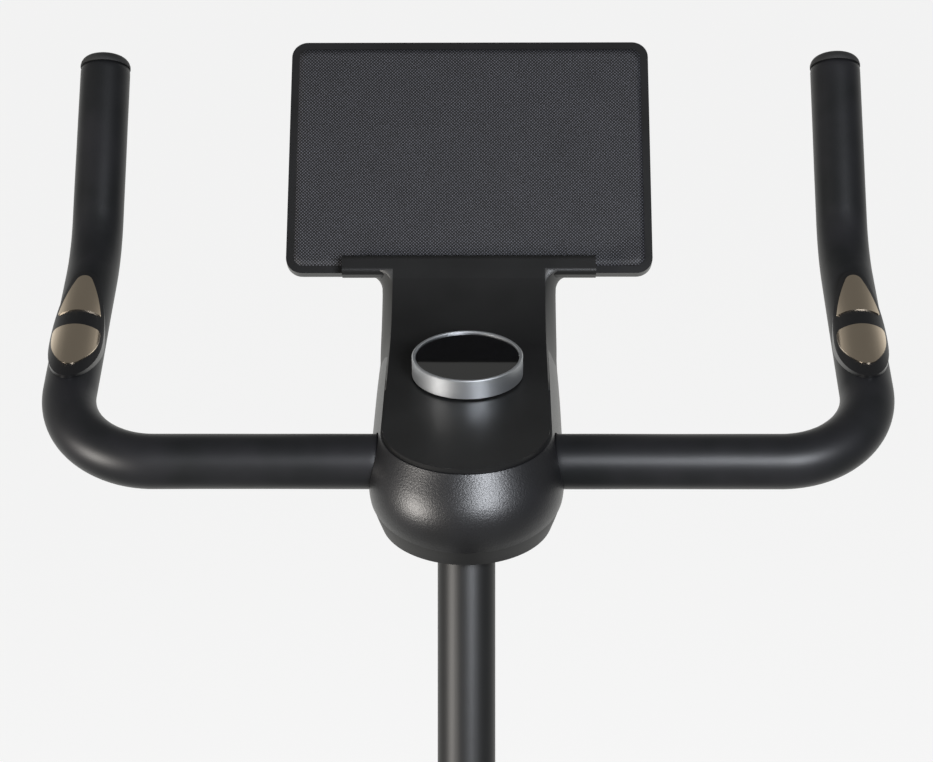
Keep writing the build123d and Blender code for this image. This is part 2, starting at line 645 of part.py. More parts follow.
with BuildPart() as front_stabilizer:
    add(stabilizer(FRONT_STAB_Y))
write(front_stabilizer, "front_stabilizer")
with BuildPart() as rear_stabilizer:
    add(stabilizer(REAR_STAB_Y))
write(rear_stabilizer, "rear_stabilizer")
with BuildPart() as stabilizer_bolts:
    for stab_y in (FRONT_STAB_Y, REAR_STAB_Y):
        for bolt_x in (-BOLT_X, BOLT_X):
            with BuildSketch(Plane(origin=(bolt_x, stab_y, STAB_Z - STAB_R - 4))):
                Circle(8)
            extrude(amount=4)
            with BuildSketch(Plane(origin=(bolt_x, stab_y, STAB_Z - STAB_R - 4))):
                Circle(3.95)
            extrude(amount=67)
            with BuildSketch(Plane(origin=(bolt_x, stab_y, STAB_Z + STAB_R + 3))):
                RegularPolygon(7.5, 6)
            extrude(amount=6.5)
write(stabilizer_bolts, "stabilizer_bolts")

CAP_IN, CAP_OUT = STAB_HALF - 30, STAB_HALF + 6
WHEEL_R, WHEEL_Y = 24, FRONT_STAB_Y + 54
with BuildPart() as front_caps:
    with BuildSketch(across(FRONT_STAB_Y, STAB_Z, CAP_IN)):
        Circle(STAB_R + 3.5)
        with Locations((0, -STAB_Z / 2)):
            Rectangle(40, STAB_Z)
        with BuildLine():
            Polyline((0, STAB_R + 3.5), (54, 10), (54, -14), (20, -22), (0, 0), close=True)
        make_face()
        with Locations((54, -2)):
            Circle(12)
    extrude(amount=CAP_OUT - CAP_IN)
    fillet(front_caps.faces().sort_by(Axis.X)[-1].edges(), 2)
    with BuildSketch(across(FRONT_STAB_Y, STAB_Z, CAP_IN - 1)):
        Circle(STAB_R)
    extrude(amount=STAB_HALF - CAP_IN + 1, mode=Mode.SUBTRACT)
    with BuildSketch(across(WHEEL_Y, STAB_Z - 2, CAP_IN + 7)):
        Circle(WHEEL_R + 1.2)
    extrude(amount=20, mode=Mode.SUBTRACT)
    with BuildSketch(across(WHEEL_Y, STAB_Z - 2, CAP_IN + 2)):
        Circle(4)
    extrude(amount=28)
    mirror(about=Plane.YZ)
write(front_caps, "front_caps")
with BuildPart() as right_wheel:
    with BuildSketch(across(WHEEL_Y, STAB_Z - 2, CAP_IN + 8)):
        Circle(WHEEL_R)
    extrude(amount=18)
    fillet(right_wheel.edges().filter_by(GeomType.CIRCLE), 2.5)
    with BuildSketch(across(WHEEL_Y, STAB_Z - 2, CAP_IN)):
        Circle(4 + FIT)
    extrude(amount=40, mode=Mode.SUBTRACT)
write(right_wheel, "right_transport_wheel")
mirrored(right_wheel, "left_transport_wheel")
CAM_R, CAM_DROP = 31, 5
with BuildPart() as right_rear_cap:
    with BuildSketch(across(REAR_STAB_Y, STAB_Z - CAM_DROP, CAP_IN)):
        Circle(CAM_R)
    extrude(amount=CAP_OUT - CAP_IN)
    fillet(right_rear_cap.faces().sort_by(Axis.X)[-1].edges(), 4)
    with BuildSketch(across(REAR_STAB_Y, STAB_Z, CAP_IN - 1)):
        Circle(STAB_R + FIT)
    extrude(amount=STAB_HALF - CAP_IN + 1, mode=Mode.SUBTRACT)
write(right_rear_cap, "right_levelling_cap")
mirrored(right_rear_cap, "left_levelling_cap")
with BuildPart() as post_bolts:
    for along in POST_BOLTS:
        with BuildSketch(Plane(origin=head(0, -SLEEVE_R - 5, along), x_dir=(1, 0, 0), z_dir=AHEAD)):
            Circle(6.5)
        extrude(amount=5)
        with BuildSketch(Plane(origin=head(0, -SLEEVE_R - 5, along), x_dir=(1, 0, 0), z_dir=AHEAD)):
            Circle(3.95)
        extrude(amount=12)
write(post_bolts, "post_bolts")


# ================================================================ drive
BEARING_T = 12
ROTOR_IN, ROTOR_OUT = 100, 6
with BuildPart() as crank_bearings:
    for bearing_x in (BB_HALF - BEARING_T, -BB_HALF):
        with BuildSketch(across(CRANK_Y, AXLE_Z, bearing_x)):
            Circle(20)
            Circle(AXLE_R + FIT, mode=Mode.SUBTRACT)
        extrude(amount=BEARING_T)
write(crank_bearings, "crank_bearings")
with BuildPart() as crank_axle:
    with BuildSketch(across(CRANK_Y, AXLE_Z)):
        Circle(AXLE_R)
    extrude(amount=ARM_X + ARM_T - 2, both=True)
write(crank_axle, "crank_axle")
with BuildPart() as drive_pulley:
    with BuildSketch(across(CRANK_Y, AXLE_Z, BELT_X - 7)):
        Circle(PULLEY_R)
    extrude(amount=14)
    for face_x, depth in ((BELT_X - 7, 4), (BELT_X + 7, -4)):
        with BuildSketch(across(CRANK_Y, AXLE_Z, face_x)):
            Circle(PULLEY_R - 8)
            Circle(26, mode=Mode.SUBTRACT)
        extrude(amount=depth, mode=Mode.SUBTRACT)
    with BuildSketch(across(CRANK_Y, AXLE_Z)):
        Circle(AXLE_R)
        with PolarLocations(68, 6):
            Circle(22)
    extrude(amount=60, mode=Mode.SUBTRACT)
write(drive_pulley, "drive_pulley")

with BuildPart() as flywheel:
    with BuildSketch(across(FLY_Y, AXLE_Z)):
        Circle(FLY_R)
    extrude(amount=FLY_HALF, both=True)
    for side in (1, -1):
        with BuildSketch(across(FLY_Y, AXLE_Z, side * FLY_HALF)):
            Circle(ROTOR_IN)
            Circle(30, mode=Mode.SUBTRACT)
        extrude(amount=-side * (FLY_HALF - ROTOR_OUT), mode=Mode.SUBTRACT)
    with BuildSketch(across(FLY_Y, AXLE_Z, -FORK_X + 6)):
        Circle(16)
    extrude(amount=FORK_X - 6)
    with BuildSketch(across(FLY_Y, AXLE_Z)):
        Circle(SMALL_PULLEY_R)
    extrude(amount=BELT_X + 8)
    with BuildSketch(across(FLY_Y, AXLE_Z, FLY_HALF)):
        Circle(20)
    extrude(amount=BELT_X - 8 - FLY_HALF)
    with BuildSketch(across(FLY_Y, AXLE_Z)):
        Circle(FLY_AXLE_R + FIT)
    extrude(amount=60, both=True, mode=Mode.SUBTRACT)
write(flywheel, "flywheel")
with BuildPart() as flywheel_axle:
    with BuildSketch(across(FLY_Y, AXLE_Z)):
        Circle(FLY_AXLE_R)
    extrude(amount=FORK_X + FORK_T, both=True)
    for nut_x in (FORK_X + FORK_T, -FORK_X - FORK_T - 5):
        with BuildSketch(across(FLY_Y, AXLE_Z, nut_x)):
            RegularPolygon(12, 6)
        extrude(amount=5)
write(flywheel_axle, "flywheel_axle")


def belt_sides(extra):
    """The four ends of the belt's straight runs, in its side view, wider by extra."""
    reach = FLY_Y - CRANK_Y
    big, small = PULLEY_R + extra, SMALL_PULLEY_R + extra
    slope_sin = (big - small) / reach
    slope_cos = sqrt(1 - slope_sin**2)
    return (
        (big * slope_sin, big * slope_cos),
        (reach + small * slope_sin, small * slope_cos),
        (reach + small * slope_sin, -small * slope_cos),
        (big * slope_sin, -big * slope_cos),
    )


with BuildPart() as belt:
    for extra, mode in ((BELT_T, Mode.ADD), (FIT, Mode.SUBTRACT)):
        with BuildSketch(across(CRANK_Y, AXLE_Z, BELT_X - BELT_W / 2)):
            Circle(PULLEY_R + extra)
            with Locations((FLY_Y - CRANK_Y, 0)):
                Circle(SMALL_PULLEY_R + extra)
            with BuildLine():
                Polyline(*belt_sides(extra), close=True)
            make_face()
        extrude(amount=BELT_W, mode=mode)
write(belt, "belt")

BELT_SLOPE = asin((PULLEY_R - SMALL_PULLEY_R) / (FLY_Y - CRANK_Y))
IDLER_REACH = 100  # from the crank spindle along the lower run of the belt
IDLER_DEEP = PULLEY_R + BELT_T + FIT + IDLER_R
IDLER_Y = CRANK_Y + IDLER_DEEP * sin(BELT_SLOPE) + IDLER_REACH * cos(BELT_SLOPE)
IDLER_Z = AXLE_Z - IDLER_DEEP * cos(BELT_SLOPE) + IDLER_REACH * sin(BELT_SLOPE)
with BuildPart() as idler_pulley:
    with BuildSketch(across(IDLER_Y, IDLER_Z, BELT_X - 7)):
        Circle(IDLER_R)
        Circle(5 + FIT, mode=Mode.SUBTRACT)
    extrude(amount=14)
write(idler_pulley, "idler_pulley")
with BuildPart() as idler_arm:
    with BuildSketch(across(IDLER_Y, IDLER_Z, BELT_X - 12)):
        with BuildLine():
            foot_z = SPINE_TOP + 0.2 - IDLER_Z
            Polyline((-16, foot_z), (16, foot_z), (11, 0), (-11, 0), close=True)
        make_face()
        Circle(11)
    extrude(amount=4.5)
    with BuildSketch(Plane.XY.offset(SPINE_TOP + 0.2)):
        with Locations((BELT_X / 2 - 6, IDLER_Y)):
            RectangleRounded(BELT_X - 3, 32, 3)
    extrude(amount=4)
    with BuildSketch(across(IDLER_Y, IDLER_Z, BELT_X - 8)):
        Circle(5)
    extrude(amount=17)
write(idler_arm, "idler_arm")

# ---------------------------------------------------------------- magnetic brake
SHOE_IN, SHOE_OUT = FLY_R + 5, FLY_R + 15
with BuildPart() as brake_arm:
    with BuildSketch(across(FLY_Y, AXLE_Z, -FLY_HALF - 1)):
        Circle(SHOE_OUT)
        Circle(SHOE_IN, mode=Mode.SUBTRACT)
        with BuildLine():
            Polyline((0, 0), (110, 320), (-170, 320), close=True)
        make_face(mode=Mode.INTERSECT)
    extrude(amount=2 * FLY_HALF + 2)
    for lug_x in (5, -10):
        with BuildSketch(across(BRAKE_Y, BRAKE_Z, lug_x)):
            Circle(9)
            with BuildLine():
                Polyline((-3, 9), (88, 4), (70, -12), (34, -34), (-4, -9), close=True)
            make_face()
        extrude(amount=5)
    with BuildSketch(across(FLY_Y, AXLE_Z, -30)):
        Circle(SHOE_IN)
    extrude(amount=60, mode=Mode.SUBTRACT)
    with BuildSketch(across(BRAKE_Y, BRAKE_Z, -12)):
        Circle(5)
    extrude(amount=24, mode=Mode.SUBTRACT)
write(brake_arm, "brake_arm")
with BuildPart() as brake_magnets:
    for turn in (72, 84, 96, 108):
        magnet_cos, magnet_sin = turned(turn)
        with BuildSketch(
            Plane(
                origin=(0, FLY_Y + magnet_cos * SHOE_IN, AXLE_Z + magnet_sin * SHOE_IN),
                x_dir=(1, 0, 0),
                z_dir=(0, -magnet_cos, -magnet_sin),
            )
        ):
            Rectangle(24, 20)
        extrude(amount=3)
    with BuildSketch(across(FLY_Y, AXLE_Z, -30)):
        Circle(SHOE_OUT)
        Circle(SHOE_IN, mode=Mode.SUBTRACT)
    extrude(amount=60, mode=Mode.SUBTRACT)
write(brake_magnets, "brake_magnets")
with BuildPart() as brake_motor:
    with BuildSketch(across(132, 555, -20)):
        RectangleRounded(52, 38, 5)
    extrude(amount=40)
    with BuildSketch(across(148, 555, -26)):
        Circle(7)
    extrude(amount=6)
    with BuildSketch(POST.offset(-620)):
        Circle(SLEEVE_R)
    extrude(amount=150, mode=Mode.SUBTRACT)
write(brake_motor, "brake_motor")

# ================================================================ shroud
SHROUD_TOP = 600


SHROUD_CORNERS = (  # y, z and radius
    (-50, 130, 26),
    (396, 130, 26),
    (424, 190, 120),
    (420, 400, 180),
    (318, 540, 180),
    (176, SHROUD_TOP, 180),
    (30, SHROUD_TOP, 70),
    (-78, 470, 180),
    (-98, 340, 180),
    (-84, 190, 120),
)


def corner_arcs(corners):
    """Start, middle and end of the arc that rounds each corner of a closed outline."""
    arcs = []
    for i, (y, z, radius) in enumerate(corners):
        corner = Vector(y, z)
        back = (Vector(*corners[i - 1][:2]) - corner).normalized()
        on = (Vector(*corners[(i + 1) % len(corners)][:2]) - corner).normalized()
        half = radians(back.get_angle(on) / 2)
        middle = corner + (back + on).normalized() * (radius / sin(half) - radius)
        arcs.append((corner + back * (radius / tan(half)), middle, corner + on * (radius / tan(half))))
    return arcs


def shroud_block(inset):
    """Half of the shroud's outer shape, made smaller all round by inset."""
    arcs = corner_arcs(SHROUD_CORNERS)
    with BuildPart(mode=Mode.PRIVATE) as block:
        with BuildSketch(Plane.YZ):
            with BuildLine():
                for (start, middle, end), (following, _, _) in zip(arcs, arcs[1:] + arcs[:1]):
                    ThreePointArc(start, middle, end)
                    Line(end, following)
            make_face()
            if inset:
                offset(amount=-inset, mode=Mode.REPLACE)
        extrude(amount=SHROUD_HALF - inset)
        fillet(block.faces().sort_by(Axis.X)[-1].edges(), 16 - inset)
    return block.part


COVER_R = 92
SHROUD_OUTER, SHROUD_INNER = shroud_block(0), shroud_block(SHROUD_WALL)
with BuildPart() as right_shroud:
    add(SHROUD_OUTER)
    add(SHROUD_INNER, mode=Mode.SUBTRACT)
    with BuildSketch(across(CRANK_Y, AXLE_Z)):
        Circle(24)
    extrude(amount=SHROUD_HALF + 10, mode=Mode.SUBTRACT)
    with BuildSketch(POST.offset(MAST_FOOT - 20)):
        Circle(SLEEVE_R + 1)
    extrude(amount=SLEEVE_TOP - MAST_FOOT + 30, mode=Mode.SUBTRACT)
    with BuildSketch(Plane.XY.offset(100)):
        with Locations((0, 140)):
            RectangleRounded(118, 360, 5)
    extrude(amount=34, mode=Mode.SUBTRACT)
    with BuildSketch(Plane.XZ.offset(-400)):
        with Locations((30, 220)):
            Circle(7)
    extrude(amount=-40, mode=Mode.SUBTRACT)
write(right_shroud, "right_shroud")
with BuildPart() as left_shroud:
    add(SHROUD_OUTER)
    add(SHROUD_INNER, mode=Mode.SUBTRACT)
    with BuildSketch(across(CRANK_Y, AXLE_Z)):
        Circle(24)
    extrude(amount=SHROUD_HALF + 10, mode=Mode.SUBTRACT)
    with BuildSketch(POST.offset(MAST_FOOT - 20)):
        Circle(SLEEVE_R + 1)
    extrude(amount=SLEEVE_TOP - MAST_FOOT + 30, mode=Mode.SUBTRACT)
    with BuildSketch(Plane.XY.offset(100)):
        with Locations((0, 140)):
            RectangleRounded(118, 360, 5)
    extrude(amount=34, mode=Mode.SUBTRACT)
    mirror(about=Plane.YZ, mode=Mode.REPLACE)
write(left_shroud, "left_shroud")
with BuildPart() as power_inlet:
    with BuildSketch(Plane.XZ.offset(-412)):
        with Locations((30, 220)):
            Circle(6.9)
            Circle(3.4, mode=Mode.SUBTRACT)
    extrude(amount=-12)
write(power_inlet, "power_inlet")
with BuildPart() as crank_discs:
    with BuildSketch(across(CRANK_Y, AXLE_Z, SHROUD_HALF + 0.4)):
        Circle(COVER_R)
        Circle(AXLE_R, mode=Mode.SUBTRACT)
    extrude(amount=3.4)
    fillet(crank_discs.faces().sort_by(Axis.X)[-1].edges().sort_by(SortBy.LENGTH)[-1], 2)
    mirror(about=Plane.YZ)
write(crank_discs, "crank_discs")
POST_AT_TOP = head(0, 0, (SHROUD_TOP - BAR_Z) / cos(radians(POST_LEAN)))
BOOT = Plane(origin=POST_AT_TOP, x_dir=(1, 0, 0), z_dir=UP)
with BuildPart() as post_boot:
    with BuildSketch(BOOT.offset(-8)):
        Circle(SLEEVE_R + 10)
    extrude(amount=18, taper=12)
    with BuildSketch(BOOT.offset(-20)):
        Circle(SLEEVE_R)
    extrude(amount=60, mode=Mode.SUBTRACT)
    with BuildSketch(Plane.XY.offset(SHROUD_TOP)):
        Rectangle(200, 600)
    extrude(amount=-60, mode=Mode.SUBTRACT)
write(post_boot, "post_boot")

# ================================================================ cranks and pedals
PEDAL_IN, PEDAL_W, PEDAL_L, PEDAL_T = 96, 88, 96, 24
PEDAL_KEEL = 9  # extra depth under the pedal, which keeps the strap on top
SPINDLE_R = 7


def crank_arm(side, turn):
    arm_cos, arm_sin = turned(turn)
    with BuildPart(mode=Mode.PRIVATE) as arm:
        start = ARM_X if side > 0 else -ARM_X - ARM_T
        with BuildSketch(across(CRANK_Y, AXLE_Z, start)) as shape:
            Circle(19)
            with Locations((CRANK_LENGTH * arm_cos, CRANK_LENGTH * arm_sin)):
                Circle(14)
            make_hull()
        extrude(amount=ARM_T)
        fillet(arm.faces().filter_by(Plane.YZ).edges(), 3)
        with BuildSketch(across(CRANK_Y, AXLE_Z, start)):
            Circle(AXLE_R)
            with Locations((CRANK_LENGTH * arm_cos, CRANK_LENGTH * arm_sin)):
                Circle(SPINDLE_R)
        extrude(amount=ARM_T, mode=Mode.SUBTRACT)
    return arm.part


def pedal_axis(turn):
    arm_cos, arm_sin = turned(turn)
    return CRANK_Y + CRANK_LENGTH * arm_cos, AXLE_Z + CRANK_LENGTH * arm_sin


with BuildPart() as right_crank:
    add(crank_arm(1, CRANK_TURN))
write(right_crank, "right_crank_arm")
with BuildPart() as left_crank:
    add(crank_arm(-1, CRANK_TURN + 180))
write(left_crank, "left_crank_arm")
with BuildPart() as crank_caps:
    for cap_x in (ARM_X + ARM_T, -ARM_X - ARM_T - 4):
        with BuildSketch(across(CRANK_Y, AXLE_Z, cap_x)):
            Circle(13)
        extrude(amount=4)
    fillet(crank_caps.edges().filter_by(GeomType.CIRCLE).group_by(Axis.X)[-1], 1.5)
    fillet(crank_caps.edges().filter_by(GeomType.CIRCLE).group_by(Axis.X)[0], 1.5)
write(crank_caps, "crank_caps")


def pedal_spindle(turn, start):
    pedal_y, pedal_z = pedal_axis(turn)
    with BuildPart(mode=Mode.PRIVATE) as spindle:
        with BuildSketch(across(pedal_y, pedal_z, start)):
            Circle(SPINDLE_R)
        extrude(amount=PEDAL_IN + PEDAL_W - 12 - ARM_X)
    return spindle.part


def pedal_body(turn, start):
    pedal_y, pedal_z = pedal_axis(turn)
    middle = start + PEDAL_W / 2
    with BuildPart(mode=Mode.PRIVATE) as body:
        with BuildSketch(Plane(origin=(middle, pedal_y, pedal_z - PEDAL_T / 2))):
            RectangleRounded(PEDAL_W, PEDAL_L, 12)
        extrude(amount=PEDAL_T)
        fillet(body.faces().filter_by(Plane.XY).edges(), 3)
        with BuildSketch(Plane(origin=(middle, pedal_y, pedal_z - PEDAL_T / 2))):
            RectangleRounded(PEDAL_W - 10, 30, 6)
        extrude(amount=-PEDAL_KEEL)
        with BuildSketch(Plane(origin=(middle, pedal_y, pedal_z - PEDAL_T / 2))):
            with GridLocations(36, 58, 2, 2):
                RectangleRounded(26, 22, 4)
        extrude(amount=PEDAL_T, mode=Mode.SUBTRACT)
        with BuildSketch(across(pedal_y, pedal_z, start)):
            Circle(SPINDLE_R + FIT)
        extrude(amount=PEDAL_W - 10, mode=Mode.SUBTRACT)
    return body.part


def pedal_strap(turn, start):
    pedal_y, pedal_z = pedal_axis(turn)
    with BuildPart(mode=Mode.PRIVATE) as strap:
        with BuildSketch(Plane(origin=(start + PEDAL_W / 2, pedal_y + 36, pedal_z), x_dir=(1, 0, 0), z_dir=(0, -1, 0))):
            with BuildLine():
                half = PEDAL_W / 2 + 0.4
                foot = Polyline((-half, -8), (-half, 22))
                ThreePointArc((-half, 22), (0, 62), (half, 22))
                Polyline((half, 22), (half, -8), (half + 2.6, -8), (half + 2.6, 23))
                ThreePointArc((half + 2.6, 23), (0, 64.6), (-half - 2.6, 23))
                Polyline((-half - 2.6, 23), (-half - 2.6, -8), (-half, -8))
            make_face()
        extrude(amount=26)
    return strap.part


with BuildPart() as pedal_spindles:
    add(pedal_spindle(CRANK_TURN, ARM_X))
    add(pedal_spindle(CRANK_TURN + 180, -PEDAL_IN - PEDAL_W + 12))
write(pedal_spindles, "pedal_spindles")
with BuildPart() as right_pedal:
    add(pedal_body(CRANK_TURN, PEDAL_IN))
write(right_pedal, "right_pedal")
with BuildPart() as left_pedal:
    add(pedal_body(CRANK_TURN, PEDAL_IN))
    mirror(about=Plane.YZ, mode=Mode.REPLACE)
with BuildPart() as left_pedal_moved:
    with Locations((0, -2 * CRANK_LENGTH * cos(radians(CRANK_TURN)), -2 * CRANK_LENGTH * sin(radians(CRANK_TURN)))):
        add(left_pedal.part)
write(left_pedal_moved, "left_pedal")
with BuildPart() as right_strap:
    add(pedal_strap(CRANK_TURN, PEDAL_IN))
write(right_strap, "right_pedal_strap")
with BuildPart() as left_strap:
    add(pedal_strap(CRANK_TURN + 180, -PEDAL_IN - PEDAL_W))
write(left_strap, "left_pedal_strap")

# ================================================================ seat
BUSH_LENGTH = 120
with BuildPart() as seat_bush:
    with BuildSketch(seat_plane(SEAT_TUBE_LENGTH - BUSH_LENGTH)):
        Circle(SEAT_TUBE_R - 2)
        Circle(SEAT_R + FIT, mode=Mode.SUBTRACT)
    extrude(amount=BUSH_LENGTH)
    with BuildSketch(seat_plane(SEAT_TUBE_LENGTH)):
        Circle(SEAT_TUBE_R + 2)
        Circle(SEAT_R + FIT, mode=Mode.SUBTRACT)
    extrude(amount=8)
    with BuildSketch(Plane(origin=SEAT_FOOT + SEAT_UP * KNOB_AT, x_dir=(1, 0, 0), z_dir=SEAT_BACK)):
        Circle(KNOB_SCREW_R + 0.4)
    extrude(amount=40, mode=Mode.SUBTRACT)
write(seat_bush, "seat_bush")
SEAT_POST_END = 260
with BuildPart() as seat_knob:
    with BuildSketch(Plane(origin=SEAT_FOOT + SEAT_UP * KNOB_AT + SEAT_BACK * (SEAT_R + 0.3), x_dir=(1, 0, 0), z_dir=SEAT_BACK)):
        Circle(KNOB_SCREW_R)
    extrude(amount=34)
    with BuildSketch(Plane(origin=SEAT_FOOT + SEAT_UP * KNOB_AT + SEAT_BACK * (SEAT_TUBE_R + 13), x_dir=(1, 0, 0), z_dir=SEAT_BACK)):
        Circle(25)
        with PolarLocations(28, 6):
            Circle(9, mode=Mode.SUBTRACT)
    extrude(amount=24)
    fillet(seat_knob.faces().sort_by(Axis(SEAT_FOOT, SEAT_BACK))[-1].edges(), 3)
write(seat_knob, "seat_height_knob")

SADDLE_TOP_OF_POST = SEAT_FOOT + SEAT_UP * SADDLE_AT
CARRIER_Z = SADDLE_TOP_OF_POST.Z + 6
SADDLE_Y = SADDLE_TOP_OF_POST.Y + 20
RAIL_HALF, RAIL_L = 15, 150
with BuildPart() as seat_post:
    with BuildSketch(seat_plane(SEAT_POST_END)):
        Circle(SEAT_R)
    extrude(amount=SADDLE_AT - SEAT_POST_END)
    with BuildSketch(seat_plane(SADDLE_AT - 40)):
        Circle(SEAT_R + 3.5)
    extrude(amount=44)
    with BuildSketch(Plane.XY.offset(CARRIER_Z - 14)):
        with Locations((0, SADDLE_Y - 20)):
            RectangleRounded(46, 90, 8)
    extrude(amount=14)
    with BuildSketch(seat_plane(SEAT_POST_END)):
        Circle(SEAT_R - 2)
    extrude(amount=SADDLE_AT - SEAT_POST_END - 30, mode=Mode.SUBTRACT)
    with BuildSketch(Plane.XY.offset(CARRIER_Z)):
        Rectangle(300, 900)
    extrude(amount=60, mode=Mode.SUBTRACT)
    with BuildSketch(Plane.XZ.offset(-SADDLE_Y - 25)):
        with Locations((0, CARRIER_Z + 10)):
            Rectangle(2 * RAIL_HALF, 20)
    extrude(amount=90)
write(seat_post, "seat_post")
with BuildPart() as seat_slider:
    with BuildSketch(Plane.XZ.offset(-SADDLE_Y - RAIL_L / 2)):
        with Locations((0, CARRIER_Z + 13)):
            Rectangle(2 * RAIL_HALF + 8, 25.4)
        with Locations((0, CARRIER_Z + 10)):
            Rectangle(2 * RAIL_HALF + 2 * FIT, 20 + 2 * FIT, mode=Mode.SUBTRACT)
    extrude(amount=RAIL_L)
write(seat_slider, "seat_slider")
with BuildPart() as slider_knob:
    with BuildSketch(across(SADDLE_Y + 10, CARRIER_Z + 6, RAIL_HALF + 4.2)):
        Circle(5)
    extrude(amount=20)
    with BuildSketch(across(SADDLE_Y + 10, CARRIER_Z + 6, RAIL_HALF + 24)):
        Circle(18.5)
        with PolarLocations(22, 5):
            Circle(7, mode=Mode.SUBTRACT)
    extrude(amount=20)
    fillet(slider_knob.faces().sort_by(Axis.X)[-1].edges(), 3)
write(slider_knob, "slider_knob")

PAN_Z = CARRIER_Z + 25.7
PAD_STATIONS = (
    (-136, 58, 34),
    (-112, 100, 52),
    (-62, 112, 62),
    (0, 84, 58),
    (60, 44, 52),
    (112, 31, 46),
    (140, 20, 32),
)
with BuildPart() as saddle_pan:
    for station, half, height in PAD_STATIONS:
        with BuildSketch(Plane.XZ.offset(-SADDLE_Y - station * 0.97)):
            with Locations((0, PAN_Z + 4)):
                RectangleRounded(2 * (half - 5), 8, 3)
    loft()
write(saddle_pan, "saddle_pan")
PAD_Z = PAN_Z + 8
with BuildPart() as saddle_pad:
    for station, half, height in PAD_STATIONS:
        with BuildSketch(Plane.XZ.offset(-SADDLE_Y - station)):
            with Locations((0, PAD_Z + height / 2)):
                RectangleRounded(2 * half, height, min(half, height / 2) * 0.85)
    loft()
write(saddle_pad, "saddle_pad")
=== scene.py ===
import math

import bmesh
import bpy
from mathutils import Matrix, Vector, noise


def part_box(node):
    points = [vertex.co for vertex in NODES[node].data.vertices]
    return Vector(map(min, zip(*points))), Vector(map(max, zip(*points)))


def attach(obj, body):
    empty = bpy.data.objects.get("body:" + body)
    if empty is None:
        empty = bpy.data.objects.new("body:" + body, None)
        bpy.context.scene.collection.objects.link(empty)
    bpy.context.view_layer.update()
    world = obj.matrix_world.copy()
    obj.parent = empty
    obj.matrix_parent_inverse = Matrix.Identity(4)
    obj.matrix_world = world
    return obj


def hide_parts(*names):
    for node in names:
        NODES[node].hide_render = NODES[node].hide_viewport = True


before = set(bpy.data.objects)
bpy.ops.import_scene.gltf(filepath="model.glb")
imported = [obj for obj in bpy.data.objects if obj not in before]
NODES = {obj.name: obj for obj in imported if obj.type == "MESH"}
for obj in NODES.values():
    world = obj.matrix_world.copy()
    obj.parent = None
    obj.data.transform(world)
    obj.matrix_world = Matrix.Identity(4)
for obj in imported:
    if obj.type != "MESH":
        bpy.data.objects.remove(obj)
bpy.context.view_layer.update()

bl_info = {
    "name": "Upright exercise bike",
    "version": (1, 0, 0),
    "blender": (4, 5, 0),
    "location": "View3D > Sidebar > Exercise bike",
    "description": "Adds the finishes, soft parts and small details of an upright exercise bike",
    "category": "Add Mesh",
}

# ---------------------------------------------------------------- fixed points of the frame, in metres
MM = 0.001
POST_LEAN = math.radians(12)
BAR = Vector((0, 0.210, 1.125))  # middle of the handlebar's cross tube
AHEAD = Vector((0, math.cos(POST_LEAN), -math.sin(POST_LEAN)))
UP = Vector((0, math.sin(POST_LEAN), math.cos(POST_LEAN)))
ACROSS = Vector((1, 0, 0))


def head(x, ahead, up):
    """A point of the handlebar head in mm: across, square to the post and along it."""
    return BAR + (ACROSS * x + AHEAD * ahead + UP * up) * MM


def tilted(tilt):
    """The normal of a surface turned up by tilt degrees from square to the post, and its upward direction."""
    c, s = math.cos(math.radians(tilt)), math.sin(math.radians(tilt))
    return UP * c - AHEAD * s, AHEAD * c + UP * s


FACE_TILT, REST_TILT = 28, 72
FACE_NORMAL, FACE_ALONG = tilted(FACE_TILT)
REST_NORMAL, REST_ALONG = tilted(REST_TILT)
FACE_START = head(0, -60, -3)
REST_FOOT = head(0, 150, 131.9)

# handlebar, in mm from the middle of its cross tube
BAR_HALF = 271.4
HORN_BEND_AT = 145.8  # each horn rises at 45 degrees to here, and then steeper
HORN_TOP = 286
HORN_SLOPE = math.radians(15)
BEND_RADII = (64, 100)
GRIP_START = 57
GRIP_STEP = 3  # between the rings of the skin
BEND_MIDDLES = (214, 395)  # along the grip

# console, in mm
FACE_FLAT = 174  # the face is flat up to here, and then bends up to the tablet rest
NECK_BEND = 85
WALL_INSIDE, WALL_BEHIND = 53.5, 25.2
WALL_START = 58.8  # half width where the walls leave the console


def on_face(x, along, out):
    """A point at a place in mm from the console's face."""
    return FACE_START + (ACROSS * x + FACE_ALONG * along + FACE_NORMAL * out) * MM


def on_rest(x, along, out):
    """A point at a place in mm from the tablet rest."""
    return REST_FOOT + (ACROSS * x + REST_ALONG * along + REST_NORMAL * out) * MM


# ---------------------------------------------------------------- colours and materials
def linear(value):
    """An sRGB hex colour as linear RGBA."""
    parts = [int(value.lstrip("#")[i : i + 2], 16) / 255 for i in (0, 2, 4)]
    return tuple(c / 12.92 if c <= 0.04045 else ((c + 0.055) / 1.055) ** 2.4 for c in parts) + (1.0,)


def add(tree, kind, links=None, inputs=None, stops=(), **settings):
    """Adds a shader node. Links are {input: (node, output)}; stops are a ramp's two (position, hex colour)."""
    made = tree.nodes.new(kind)
    for name, value in settings.items():
        setattr(made, name, value)
    for name, value in (inputs or {}).items():
        made.inputs[name].default_value = value
    for name, (source, output) in (links or {}).items():
        tree.links.new(source.outputs[output], made.inputs[name])
    for i, (position, colour) in enumerate(stops):
        made.color_ramp.elements[i].position = position
        made.color_ramp.elements[i].color = linear(colour)
    return made


